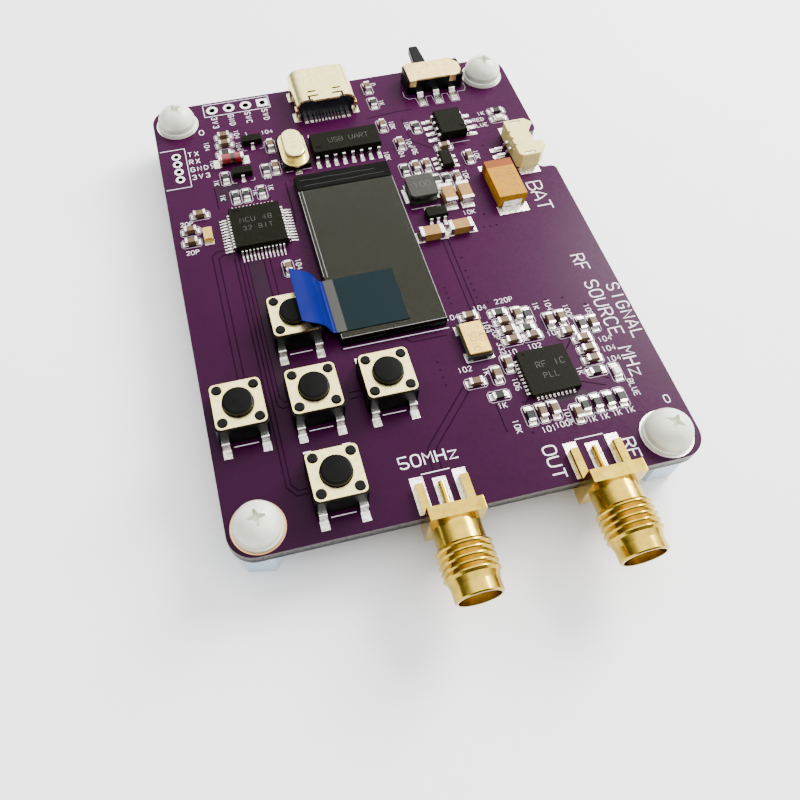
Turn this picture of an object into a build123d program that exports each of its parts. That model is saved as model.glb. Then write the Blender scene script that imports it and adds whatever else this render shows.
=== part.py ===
"""Bare-board RF signal source: a circuit board on four short standoffs, with a small display,
five push buttons, a slide power switch, a USB-C socket, a battery socket and two edge-mounted
coaxial sockets.  Millimetres, +Z up, +X along the front edge, +Y towards the USB edge.  The
origin is at the middle of the four foot holes, on the plane that the standoffs stand on.

Places on the board are given from its front left corner, and heights from its top face."""

from build123d import *
import os

# ---- the board and its hardware ---------------------------------------------------------
board_width = 54.5
board_depth = 70.7
board_thickness = 1.6
board_corner = 3.0
hole_left, hole_right = 3.55, 50.65
hole_front, hole_rear = 3.2, 67.0
screw_hole_radius = 1.65
screw_ring = 3.05
notch_left, notch_front, notch_rear = 52.2, 46.3, 53.5
notch_corner = 0.8
standoff_height = 5.0
standoff_across_flats = 5.5
standoff_bore = 1.25
standoff_relief, standoff_tapped = 1.35, 1.9
screw_head_radius, screw_dome_radius = 2.8, 2.62
screw_head_height, screw_dome_base = 3.1, 1.2
screw_shank_radius = 1.2
screw_length = 4.4
eyelet_wall = 0.06
eyelet_rim = 0.04

# ---- connectors -------------------------------------------------------------------------
usb_x, usb_inner_y = 25.4, 63.8
usb_width, usb_height, usb_length = 8.94, 3.2, 7.15
usb_wall = 0.3
usb_lift = 0.05
usb_axis = usb_lift + usb_height / 2
usb_tongue_width, usb_tongue_thickness, usb_tongue_recess = 6.7, 0.7, 0.5
usb_core_depth = 1.4
usb_wide_leads = (-3.2, -2.4, 2.4, 3.2)
usb_lip, usb_block_width, usb_block_depth = 4.0, 7.8, 1.4
usb_slot_x, usb_slot_y, usb_slot_length, usb_slot_width = 1.85, 0.95, 1.6, 0.32
usb_notch_x, usb_spring_y = 2.45, 1.95
usb_narrow_leads = [-1.75 + 0.5 * step for step in range(8)]
rf_x, clock_x = 41.85, 23.9
coax_axis = 0.4
coax_flange, coax_flange_near, coax_flange_far = 6.2, -0.15, -1.6
coax_neck_radius, coax_thread_radius, coax_mouth_radius = 2.7, 3.1, 2.65
coax_thread_near, coax_thread_far, coax_end = -4.0, -8.2, -9.6
coax_thread_pitch = 0.7
coax_bore_radius, coax_insulator_radius, coax_pin_radius = 2.3, 2.05, 0.38
coax_leg_x, coax_leg_width, coax_leg_top, coax_leg_reach = 2.55, 0.9, 1.05, 3.6
coax_thread_depth = 0.28
coax_bore_depth, coax_contact_radius, coax_pin_reach = 1.9, 0.63, 3.5
battery_inner_x, battery_y = 49.05, 50.3
battery_width, battery_depth, battery_height = 7.1, 4.1, 2.4
battery_pitch = 1.25
battery_wall = 0.5
battery_mouth = 5.6
battery_pin = 0.36
battery_pin_level = 1.15
battery_nail_x, battery_nail_y, battery_nail_width = 1.55, 3.1, 1.4

# ---- switches ---------------------------------------------------------------------------
button_pitch_x, button_pitch_y = 8.65, 10.65
centre_button_x, centre_button_y = 12.75, 16.6
button_base_width, button_base_top = 6.0, 3.2
button_cover_width, button_cover_top = 5.8, 3.5
button_radius, button_opening, button_top = 1.75, 1.85, 4.3
button_flange_radius, button_flange_bottom, button_flange_top = 2.2, 2.3, 3.1
button_nub_radius, button_nub_bottom = 1.0, 1.52
button_cavity_radius, button_floor = 2.35, 0.7
dome_radius, dome_rise, dome_thickness = 2.0, 0.5, 0.08
rivet_spacing, rivet_radius, rivet_head_radius, rivet_head_height = 4.2, 0.5, 0.62, 0.22
foot_x, foot_width, foot_reach = 2.25, 0.9, 4.6
slide_x, slide_y = 42.6, 67.2
slide_width, slide_depth, slide_height = 8.7, 3.8, 2.6
slide_travel = 2.5
slide_gap = 0.1
slide_cavity_half, slide_slot_half = 3.45, 2.35
slide_cavity_front, slide_cavity_rear = -1.25, 1.25
slide_floor, slide_cover_bottom = 0.5, 2.35
slide_lead_pitch, slide_lead_width, slide_lead_thickness = 2.5, 0.9, 0.12
slide_lead_reach = 4.3
slide_cover_half, slide_tab_width, slide_tab_bottom = 4.1, 1.0, 1.5
slide_start_x = slide_x - slide_travel / 2
lever_tip = 6.3

# ---- display ----------------------------------------------------------------------------
display_x, display_front = 24.35, 23.4
display_width, display_length = 13.5, 27.95
display_frame_top, display_top = 1.05, 1.5
display_ledge = 3.0
display_band_top = 1.45
film_thickness, tab_thickness, tab_width, tab_front = 0.06, 0.07, 8.0, 24.45
tab_right, tab_bend, tab_end, tab_end_level = 26.45, 17.4, 13.2, 5.5

# ---- worked-out values ------------------------------------------------------------------
pattern_x = (hole_left + hole_right) / 2
pattern_y = (hole_front + hole_rear) / 2
board_top = standoff_height + board_thickness
screw_spots = [(x, y) for x in (hole_left, hole_right) for y in (hole_front, hole_rear)]
button_spots = {
    "up": (centre_button_x, centre_button_y + button_pitch_y),
    "down": (centre_button_x, centre_button_y - button_pitch_y),
    "left": (centre_button_x - button_pitch_x, centre_button_y),
    "right": (centre_button_x + button_pitch_x, centre_button_y),
    "centre": (centre_button_x, centre_button_y),
}
debug_holes = [(8.95 + 2.54 * step, 68.95) for step in range(4)]
serial_holes = [(2.45, 60.4 - 1.52 * step) for step in range(4)]
debug_radius, debug_pad = 0.45, 0.85
serial_radius, serial_pad = 0.35, 0.65
usb_tab_x, usb_tab_rows, usb_tab_length = 4.45, (0.6, 5.2), 1.0

# ---- small parts on the board: x, y, and 90 where the long side runs front to back -------
CROSS, ALONG = 0, 90
small_capacitors = [
    (9.7, 62.85, CROSS), (9.6, 61.2, CROSS), (15.95, 59.4, ALONG), (15.8, 54.9, ALONG),
    (4.1, 48.5, CROSS), (2.5, 45.95, CROSS), (2.35, 43.95, CROSS), (13.9, 36.75, ALONG),
    (32.75, 68.2, ALONG), (32.75, 59.6, ALONG), (34.25, 55.35, ALONG), (40.2, 53.25, CROSS),
    (43.05, 50.5, ALONG), (35.1, 50.2, ALONG), (36.7, 50.2, ALONG), (40.1, 46.95, ALONG),
    (38.0, 22.15, CROSS), (38.0, 20.75, CROSS), (38.1, 19.3, CROSS), (39.95, 22.75, ALONG),
    (40.7, 19.35, CROSS), (43.55, 21.0, ALONG), (45.05, 21.05, ALONG), (45.05, 18.85, CROSS),
    (48.6, 19.4, ALONG), (46.5, 17.5, CROSS), (46.5, 16.0, CROSS), (46.5, 14.5, CROSS),
    (41.85, 8.0, ALONG), (37.9, 9.05, ALONG), (39.4, 9.1, ALONG), (31.8, 14.65, CROSS),
    (34.55, 15.1, ALONG), (36.35, 16.25, ALONG), (34.05, 23.9, CROSS),
]
resistors = [
    (9.4, 59.4, CROSS), (8.65, 54.6, ALONG), (14.45, 54.8, ALONG), (9.45, 50.7, ALONG),
    (10.9, 50.75, ALONG), (13.05, 50.85, ALONG), (32.75, 64.75, ALONG), (37.5, 58.2, ALONG),
    (33.5, 50.15, ALONG), (37.25, 47.25, ALONG), (38.7, 47.1, ALONG), (50.1, 58.75, CROSS),
    (37.8, 23.6, CROSS), (41.2, 22.5, ALONG), (40.4, 20.65, CROSS), (47.25, 19.6, ALONG),
    (46.25, 12.85, CROSS), (43.1, 8.75, ALONG), (44.6, 8.8, ALONG), (46.1, 8.8, ALONG),
    (47.6, 8.85, ALONG), (36.45, 9.0, ALONG), (33.9, 12.35, CROSS),
]
large_capacitors = [
    (37.75, 43.65, ALONG), (40.05, 43.6, ALONG), (33.5, 37.65, CROSS), (37.55, 37.85, CROSS),
]
indicator_leds = [(49.95, 57.1, CROSS), (48.5, 12.2, ALONG)]
small_chip = (1.6, 0.8, 0.3)             # length, width, metal at each end
large_chip = (3.2, 1.6, 0.5)
capacitor_height, resistor_height, large_height, led_height = 0.8, 0.45, 1.3, 0.6

mcu_x, mcu_y = 11.33, 44.0
bridge_x, bridge_y = 26.4, 56.85
charger_x, charger_y = 42.2, 56.95
synthesizer_x, synthesizer_y = 40.45, 14.05
protector_x, protector_y = 39.55, 50.35
regulator_x, regulator_y = 35.15, 40.9
transistors = [(13.5, 60.8), (11.05, 54.8)]
land_pitch, land_count, land_width, land_length, land_height = 0.5, 10, 0.26, 0.45, 0.2
synthesizer_width, synthesizer_height = 6.0, 0.95
can_crystal_x, can_crystal_y = 18.87, 57.1
oscillator_x, oscillator_y = 33.45, 20.2
diode_radius = 0.75
diode_x, diode_y = 10.0, 57.6
tantalum_x, tantalum_y = 45.8, 43.9
tantalum_width, tantalum_length, tantalum_height = 4.05, 7.0, 1.9
inductor_x, inductor_y = 34.3, 45.3

os.makedirs("parts", exist_ok=True)


# ---- helpers ----------------------------------------------------------------------------
def at(x, y, z=0.0, turned=0.0):
    """A plane lying on the board, z above its top face, turned about the vertical."""
    level = Plane(origin=(x - pattern_x, y - pattern_y, board_top + z))
    return level.rotated((0, 0, turned))


def place(x, y, z=0.0, turned=0.0):
    """The same spot as a location, for copies of a piece made about its own centre."""
    return Location((x - pattern_x, y - pattern_y, board_top + z), (0, 0, turned))


def facing_front(x, y, z=0.0):
    """An upright plane whose normal points to the front, with its X to the right."""
    return Plane(
        origin=(x - pattern_x, y - pattern_y, board_top + z), x_dir=(1, 0, 0), z_dir=(0, -1, 0)
    )


def save(builder, name):
    builder.part.label = name
    export_step(builder.part, f"parts/{name}.step")


def copies(piece, locations):
    """Separate copies of one piece, one at each location."""
    with BuildPart() as group:
        with Locations(*locations):
            add(piece)
    return group


def block(length, width, low, high, rounding=0.0):
    """A plain block about the vertical axis, from one height to another."""
    with BuildPart() as made:
        with BuildSketch(Plane.XY.offset(low)):
            if rounding:
                RectangleRounded(length, width, rounding)
            else:
                Rectangle(length, width)
        extrude(amount=high - low)
    return made


# ---- circuit board and hardware ------------------------------------------------------------
def circuit_board():
    corners = [
        (0, 0), (board_width, 0), (board_width, notch_front), (notch_left, notch_front),
        (notch_left, notch_rear), (board_width, notch_rear), (board_width, board_depth),
        (0, board_depth),
    ]
    radii = [board_corner] * 2 + [notch_corner] * 4 + [board_corner] * 2
    with BuildPart() as board:
        with BuildSketch(at(0, 0, -board_thickness)):
            with BuildLine():
                FilletPolyline(*corners, radius=radii, close=True)
            make_face()
            with Locations(*screw_spots):
                Circle(screw_hole_radius, mode=Mode.SUBTRACT)
            with Locations(*debug_holes):
                Circle(debug_radius + eyelet_wall, mode=Mode.SUBTRACT)
            with Locations(*serial_holes):
                Circle(serial_radius + eyelet_wall, mode=Mode.SUBTRACT)
            for side in (-1, 1):
                for row in usb_tab_rows:
                    with Locations((usb_x + side * usb_tab_x, usb_inner_y + row)):
                        Rectangle(0.7, usb_tab_length + 0.4, mode=Mode.SUBTRACT)
        extrude(amount=board_thickness)
    return board


def eyelet(radius, pad, square=False):
    """A plated hole: a tube through the board with a flat pad on each face."""
    with BuildPart() as made:
        with BuildSketch(Plane.XY.offset(-board_thickness)):
            Circle(radius + eyelet_wall)
        extrude(amount=board_thickness)
        with BuildSketch(Plane.XY, Plane.XY.offset(-board_thickness - eyelet_rim)):
            if square:
                Rectangle(2 * pad, 2 * pad)
            else:
                Circle(pad)
        extrude(amount=eyelet_rim)
        with BuildSketch(Plane.XY.offset(-board_thickness - eyelet_rim)):
            Circle(radius)
        extrude(amount=board_thickness + 2 * eyelet_rim, mode=Mode.SUBTRACT)
    return made


def plated_holes():
    """The plating of the two header rows and of the four screw holes."""
    round_eyelet = eyelet(debug_radius, debug_pad)
    square_eyelet = eyelet(debug_radius, debug_pad, square=True)
    serial_eyelet = eyelet(serial_radius, serial_pad)
    screw_eyelet = eyelet(screw_hole_radius - eyelet_wall, screw_ring)
    with BuildPart() as group:
        with Locations(*[place(x, y) for x, y in screw_spots]):
            add(screw_eyelet.part)
        with Locations(*[place(x, y) for x, y in debug_holes[:-1]]):
            add(round_eyelet.part)
        with Locations(place(*debug_holes[-1])):
            add(square_eyelet.part)
        with Locations(*[place(x, y) for x, y in serial_holes]):
            add(serial_eyelet.part)
    return group


def corner_screw():
    """A domed screw with a thin brim and a small cross recess; its brim rests on the plated ring."""
    brim_height = 0.35
    with BuildPart() as screw:
        with BuildSketch(Plane.XZ):
            with BuildLine():
                Polyline(
                    (0, screw_head_height), (0, -screw_length), (screw_shank_radius - 0.3, -screw_length),
                    (screw_shank_radius, -screw_length + 0.4), (screw_shank_radius, 0),
                    (screw_head_radius, 0), (screw_head_radius, brim_height),
                    (screw_dome_radius, brim_height + 0.1), (screw_dome_radius, screw_dome_base),
                )
                across, up = crown_middle(screw_dome_radius, screw_head_height - screw_dome_base)
                ThreePointArc(
                    (screw_dome_radius, screw_dome_base), (across, screw_dome_base + up),
                    (0, screw_head_height),
                )
            make_face()
        revolve(axis=Axis.Z)
        for turned in range(0, 360, 90):
            with BuildSketch(Plane.XY.offset(screw_head_height + 0.1).rotated((0, 0, turned))):
                with BuildLine():
                    Polyline((-0.42, 0), (0.42, 0), (0.12, 1.05), (-0.12, 1.05), close=True)
                make_face()
            extrude(amount=-0.85, taper=5, mode=Mode.SUBTRACT)
    return screw


def corner_standoff():
    """A hexagonal nylon spacer, tapped from below, with a wider relief round the screw's end."""
    with BuildPart() as spacer:
        with BuildSketch(Plane.XY):
            RegularPolygon(standoff_across_flats / 2, 6, major_radius=False, rotation=30)
        extrude(amount=standoff_height - eyelet_rim)
        outer = spacer.edges().filter_by(GeomType.LINE).group_by(Axis.Z)
        chamfer(outer[0] + outer[-1], 0.25)
        with BuildSketch(Plane.XY):
            Circle(standoff_bore)
        extrude(amount=standoff_tapped, mode=Mode.SUBTRACT)
        with BuildSketch(Plane.XY.offset(standoff_tapped)):
            Circle(standoff_relief)
        extrude(amount=standoff_height - standoff_tapped, mode=Mode.SUBTRACT)
    return spacer


# ---- push buttons ------------------------------------------------------------------------
def button_base():
    """The moulded body, with four posts whose heads hold the cover down."""
    with BuildPart() as base:
        with BuildSketch(Plane.XY):
            RectangleRounded(button_base_width, button_base_width, 0.35)
        extrude(amount=button_base_top)
        with BuildSketch(Plane.XY.offset(button_floor)):
            Circle(button_cavity_radius)
        extrude(amount=button_base_top, mode=Mode.SUBTRACT)
        with BuildSketch(Plane.XY.offset(button_base_top)):
            with GridLocations(rivet_spacing, rivet_spacing, 2, 2):
                Circle(rivet_radius)
        extrude(amount=button_cover_top - button_base_top)
        with BuildSketch(Plane.XY.offset(button_cover_top)):
            with GridLocations(rivet_spacing, rivet_spacing, 2, 2):
                Circle(rivet_head_radius)
        extrude(amount=rivet_head_height, taper=30)
    return base


def button_cover():
    """The sprung steel plate over the body, with the round opening for the cap."""
    with BuildPart() as cover:
        with BuildSketch(Plane.XY.offset(button_base_top)):
            RectangleRounded(button_cover_width, button_cover_width, 0.6)
            Circle(button_opening, mode=Mode.SUBTRACT)
            with GridLocations(rivet_spacing, rivet_spacing, 2, 2):
                Circle(rivet_radius + 0.04, mode=Mode.SUBTRACT)
        extrude(amount=button_cover_top - button_base_top)
    return cover


def button_feet():
    """Four bent feet, two at the front of the body and two at the rear."""
    half = button_base_width / 2
    with BuildPart() as feet:
        with BuildSketch(Plane.YZ):
            for side in (-1, 1):
                with BuildLine():
                    FilletPolyline(
                        (side * half, 1.0), (side * (half + 0.5), 1.0),
                        (side * (half + 0.75), 0.1), (side * foot_reach, 0.1), radius=0.12,
                    )
                trace(line_width=0.2)
        extrude(amount=foot_width / 2, both=True)
    return copies(feet.part, [Location((-foot_x, 0, 0)), Location((foot_x, 0, 0))])


def crown_middle(radius, rise):
    """The point half way out on a spherical crown, counted from the crown's flat base."""
    below = (radius ** 2 - rise ** 2) / (2 * rise)
    return radius / 2, ((below + rise) ** 2 - radius ** 2 / 4) ** 0.5 - below


def button_dome():
    """The shallow snap dome that the cap presses."""
    inner_radius, inner_rise = dome_radius - 0.3, dome_rise - dome_thickness
    with BuildPart() as dome:
        with BuildSketch(Plane.XZ):
            with BuildLine():
                Line((0, button_floor + inner_rise), (0, button_floor + dome_rise))
                across, up = crown_middle(dome_radius, dome_rise)
                ThreePointArc(
                    (0, button_floor + dome_rise), (across, button_floor + up),
                    (dome_radius, button_floor),
                )
                Line((dome_radius, button_floor), (inner_radius, button_floor))
                across, up = crown_middle(inner_radius, inner_rise)
                ThreePointArc(
                    (inner_radius, button_floor), (across, button_floor + up),
                    (0, button_floor + inner_rise),
                )
            make_face()
        revolve(axis=Axis.Z)
    return dome


def button_cap():
    """The round cap: a flange held under the cover, a nub below and a slightly domed top."""
    rim, dome_height = button_radius - 0.22, 0.08
    shoulder = button_top - dome_height
    across, up = crown_middle(rim, dome_height)
    with BuildPart() as cap:
        with BuildSketch(Plane.XZ):
            with BuildLine():
                Polyline(
                    (0, button_top), (0, button_nub_bottom), (button_nub_radius, button_nub_bottom),
                    (button_nub_radius, button_flange_bottom), (button_flange_radius, button_flange_bottom),
                    (button_flange_radius, button_flange_top), (button_radius, button_flange_top),
                    (button_radius, shoulder - 0.12), (rim, shoulder),
                )
                ThreePointArc((rim, shoulder), (across, shoulder + up), (0, button_top))
            make_face()
        revolve(axis=Axis.Z)
    return cap


def push_buttons():
    spots = [place(x, y) for x, y in button_spots.values()]
    save(copies(button_base().part, spots), "button_bases")
    save(copies(button_cover().part, spots), "button_covers")
    save(copies(button_feet().part, spots), "button_terminals")
    save(copies(button_dome().part, spots), "button_domes")
    cap = button_cap().part
    for name, (x, y) in button_spots.items():
        save(copies(cap, [place(x, y)]), f"button_{name}")


# ---- slide power switch -----------------------------------------------------------------


def power_switch_body():
    """The moulded body: an open box with a slot in its rear wall for the lever."""
    half_depth = slide_depth / 2
    with BuildPart() as body:
        with BuildSketch(at(slide_x, slide_y)):
            RectangleRounded(slide_width, slide_depth, 0.3)
        extrude(amount=slide_cover_bottom)
        with BuildSketch(at(slide_x, slide_y, slide_floor)):
            Rectangle(2 * slide_cavity_half, slide_cavity_rear - slide_cavity_front)
        extrude(amount=slide_height, mode=Mode.SUBTRACT)
        with BuildSketch(at(slide_x, slide_y + half_depth, 1.05)):
            Rectangle(2 * slide_slot_half, 2 * (half_depth - slide_cavity_rear) + 0.4)
        extrude(amount=slide_height, mode=Mode.SUBTRACT)
        with BuildSketch(at(slide_x, slide_y - half_depth, slide_floor)):
            with GridLocations(slide_lead_pitch, 0, 3, 1):
                Rectangle(slide_lead_width + 0.04, 2 * (half_depth + slide_cavity_front) + 0.4)
        extrude(amount=slide_lead_thickness + 0.03, mode=Mode.SUBTRACT)
    return body


def power_switch_cover():
    """The folded steel cover, with cut corners and tabs over the front and rear walls."""
    half_depth = slide_depth / 2
    half = slide_cover_half
    wall = slide_height - slide_cover_bottom
    with BuildPart() as cover:
        with BuildSketch(at(slide_x, slide_y, slide_cover_bottom)):
            with BuildLine():
                Polyline(
                    (-half, -half_depth), (half - 0.5, -half_depth), (half, -half_depth + 0.9),
                    (half, half_depth - 1.3), (half - 1.1, half_depth), (-half + 0.4, half_depth),
                    (-half, half_depth - 0.5), close=True,
                )
            make_face()
        extrude(amount=wall)
        with BuildSketch(at(slide_x, slide_y, slide_tab_bottom)):
            for x in (-half + 0.5, half - 1.5):
                with Locations((x, -half_depth - 0.08)):
                    Rectangle(slide_tab_width, 0.16)
            for x in (-3.3, 2.7):
                with Locations((x, half_depth + 0.08)):
                    Rectangle(slide_tab_width, 0.16)
        extrude(amount=slide_height - slide_tab_bottom)
    return cover


def power_switch_lever():
    """The slider and its tapered lever, drawn at the left end of its travel."""
    with BuildPart() as lever:
        with BuildSketch(at(slide_start_x, slide_y, 1.15)):
            with BuildLine():
                Polyline(
                    (-2.1, slide_cavity_front + 0.1), (2.1, slide_cavity_front + 0.1),
                    (2.1, slide_cavity_rear - 0.1), (0.98, slide_cavity_rear - 0.1),
                    (0.95, 2.2), (0.68, lever_tip - 0.15), (0.55, lever_tip), (-0.55, lever_tip),
                    (-0.68, lever_tip - 0.15), (-0.95, 2.2), (-0.98, slide_cavity_rear - 0.1),
                    (-2.1, slide_cavity_rear - 0.1), close=True,
                )
            make_face()
        extrude(amount=slide_cover_bottom - slide_gap - 1.15)
        top_rim = lever.faces().sort_by(Axis.Z)[-1].edges().sort_by(Axis.Y)[-5:]
        chamfer(top_rim, 0.12)
    return lever


def power_switch_contact():
    """The sprung bridge under the slider, with two feet above the fixed contacts."""
    with BuildPart() as contact:
        with BuildSketch(facing_front(slide_start_x, slide_y)):
            with BuildLine():
                FilletPolyline(
                    (-1.75, 1.09), (-1.25, 0.78), (-0.8, 1.04), (0.8, 1.04), (1.25, 0.78), (1.75, 1.09),
                    radius=0.15,
                )
            trace(line_width=0.1)
        extrude(amount=0.6, both=True)
    return contact


def power_switch_terminals():
    thickness = slide_lead_thickness
    level = slide_floor + thickness / 2
    with BuildPart() as lead:
        with BuildSketch(Plane.YZ):
            with BuildLine():
                FilletPolyline(
                    (0.9, level), (-2.35, level), (-2.75, thickness / 2),
                    (-slide_lead_reach, thickness / 2), radius=0.15,
                )
            trace(line_width=thickness)
        extrude(amount=slide_lead_width / 2, both=True)
    steps = [step * slide_lead_pitch for step in (-1, 0, 1)]
    return copies(lead.part, [place(slide_x + step, slide_y) for step in steps])


def power_switch():
    save(power_switch_body(), "power_switch_body")
    save(power_switch_cover(), "power_switch_cover")
    save(power_switch_lever(), "power_switch_lever")
    save(power_switch_contact(), "power_switch_contact")
    save(power_switch_terminals(), "power_switch_terminals")


# ---- USB-C socket -----------------------------------------------------------------------


def usb_shell():
    """The drawn steel shell, open at both ends, with two spring tongues cut in its top
    and four legs that pass into slots in the board."""
    with BuildPart() as shell:
        with BuildSketch(facing_front(usb_x, usb_inner_y, usb_axis)):
            SlotOverall(usb_width, usb_height)
            offset(amount=-usb_wall, mode=Mode.SUBTRACT)
        extrude(amount=-usb_length)
        with BuildSketch(at(usb_x, usb_inner_y)):
            for side in (-1, 1):
                with Locations((side * (usb_lip + usb_width) / 2, 0)):
                    Rectangle(usb_width, 0.5)
        extrude(amount=usb_height + 1, mode=Mode.SUBTRACT)
        with BuildSketch(at(usb_x, usb_inner_y, usb_axis + 0.5)):
            for side in (-1, 1):
                with Locations((side * usb_slot_x, usb_slot_y)):
                    Rectangle(usb_slot_length, usb_slot_width)
                with Locations((side * usb_notch_x, usb_slot_y / 2)):
                    Rectangle(usb_slot_width, usb_slot_y)
                with Locations((side * usb_slot_x, usb_spring_y)):
                    SlotOverall(usb_slot_length - 0.3, usb_slot_width)
        extrude(amount=usb_height, mode=Mode.SUBTRACT)
        with BuildSketch(at(usb_x, usb_inner_y, -usb_axis)):
            Rectangle(usb_width + 1, 2 * usb_block_depth)
        extrude(amount=usb_axis + 0.9, mode=Mode.SUBTRACT)
        with BuildSketch(at(usb_x, usb_inner_y, -1.2)):
            for side in (-1, 1):
                for row in usb_tab_rows:
                    with Locations((side * usb_tab_x, row)):
                        Rectangle(usb_wall, usb_tab_length)
        extrude(amount=1.2 + usb_axis)
    return shell


def usb_insulator():
    """The moulding inside the shell: a block that closes its rear down to the board, and
    the thin tongue that carries the contacts."""
    inside = usb_height - 2 * usb_wall - 0.06
    with BuildPart() as core:
        with BuildSketch(facing_front(usb_x, usb_inner_y + 0.3, usb_axis)):
            SlotOverall(usb_width - 2 * usb_wall - 0.06, inside)
        extrude(amount=-usb_core_depth)
        with BuildSketch(facing_front(usb_x, usb_inner_y + 0.3, usb_axis / 2 + usb_lift)):
            Rectangle(usb_block_width, usb_axis)
        extrude(amount=-(usb_block_depth - 0.35))
        with BuildSketch(facing_front(usb_x, usb_inner_y + 0.3, usb_axis)):
            RectangleRounded(usb_tongue_width, usb_tongue_thickness, 0.1)
        extrude(amount=-(usb_length - 0.3 - usb_tongue_recess))
    return core


def usb_contacts():
    """The contact strips on both faces of the tongue, and the row of solder leads."""
    half = usb_tongue_thickness / 2
    with BuildPart() as contacts:
        with BuildSketch(at(usb_x, usb_inner_y + 4.1, usb_axis + half)):
            for x in list(usb_wide_leads) + usb_narrow_leads:
                with Locations((x * 0.97, 0)):
                    Rectangle(0.25, 4.6)
        extrude(amount=0.05)
        mirror(about=Plane.XY.offset(board_top + usb_axis))
        with BuildSketch(at(usb_x, usb_inner_y - 0.2)):
            for x in usb_wide_leads:
                with Locations((x, 0)):
                    Rectangle(0.5, 0.9)
            for x in usb_narrow_leads:
                with Locations((x, 0)):
                    Rectangle(0.26, 0.9)
        extrude(amount=0.18)
    return contacts


# ---- battery socket ---------------------------------------------------------------------


def battery_socket():
    """A two-way side-entry socket: a moulded box open to the right, its top cut back
    between two ears, with a slot in each end wall for the fixing plates."""
    half = battery_width / 2
    with BuildPart() as socket:
        with BuildSketch(at(battery_inner_x, battery_y)):
            with BuildLine():
                Polyline(
                    (0, 0.45 - half), (0.45, -half), (battery_depth - 1.1, -half),
                    (battery_depth, -half + 1.1), (battery_depth, half - 1.1), (battery_depth - 1.1, half),
                    (0.15, half), (0, half - 0.15), close=True,
                )
            make_face()
        extrude(amount=battery_height)
        with BuildSketch(at(battery_inner_x + 0.9, battery_y, 0.45)):
            with Locations((battery_depth / 2, 0)):
                Rectangle(battery_depth, battery_mouth)
        extrude(amount=battery_height - 0.45 - battery_wall, mode=Mode.SUBTRACT)
        with BuildSketch(at(battery_inner_x, battery_y, 1.0)):
            with BuildLine():
                Polyline(
                    (2.85, -1.2), (battery_depth + 1, -1.2), (battery_depth + 1, 2.7),
                    (battery_depth - 0.25, 2.5), (2.85, 1.0), close=True,
                )
            make_face()
        extrude(amount=battery_height, mode=Mode.SUBTRACT)
        with BuildSketch(at(battery_inner_x, battery_y, battery_pin_level - 0.25)):
            with GridLocations(0, battery_pitch, 1, 2):
                Rectangle(3.0, 0.5)
        extrude(amount=0.5, mode=Mode.SUBTRACT)
        with BuildSketch(at(battery_inner_x + battery_nail_x, battery_y)):
            with GridLocations(0, 2 * battery_nail_y, 1, 2):
                Rectangle(battery_nail_width + 0.04, 0.24)
        extrude(amount=battery_height, mode=Mode.SUBTRACT)
        with BuildSketch(at(battery_inner_x + battery_nail_x, battery_y, battery_height)):
            with GridLocations(0, 2 * battery_nail_y, 1, 2):
                Rectangle(battery_nail_width + 0.2, 0.42)
        extrude(amount=-0.25, mode=Mode.SUBTRACT)
        with BuildSketch(at(battery_inner_x, battery_y, battery_height)):
            with GridLocations(0, 1.3, 1, 3):
                Rectangle(0.5, 0.45)
        extrude(amount=-0.8, mode=Mode.SUBTRACT)
        with BuildSketch(at(battery_inner_x + battery_nail_x, battery_y)):
            with GridLocations(0, 2 * (battery_nail_y + 0.5), 1, 2):
                Rectangle(battery_nail_width + 0.04, 1.24)
        extrude(amount=0.2, mode=Mode.SUBTRACT)
    return socket


def battery_socket_pins():
    """Two bent pins, straight inside the socket and turned down to the board behind it."""
    half = battery_pin / 2
    with BuildPart() as pin:
        with BuildSketch(Plane.XZ):
            with BuildLine():
                FilletPolyline(
                    (3.2, battery_pin_level), (-0.35, battery_pin_level), (-0.75, half + 0.02),
                    (-2.0, half + 0.02), radius=0.3,
                )
            trace(line_width=battery_pin)
        extrude(amount=half, both=True)
    steps = (-battery_pitch / 2, battery_pitch / 2)
    return copies(pin.part, [place(battery_inner_x, battery_y + step) for step in steps])


def battery_socket_nails():
    """The two bent plates held in the end walls and soldered to the board."""
    with BuildPart() as nails:
        with BuildSketch(Plane.YZ):
            for side in (-1, 1):
                with BuildLine():
                    Polyline(
                        (side * battery_nail_y, 2.3), (side * battery_nail_y, 0.09),
                        (side * (battery_nail_y + 1.35), 0.09),
                    )
                trace(line_width=0.18)
        extrude(amount=battery_nail_width / 2, both=True)
    return copies(nails.part, [place(battery_inner_x + battery_nail_x, battery_y)])


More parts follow.
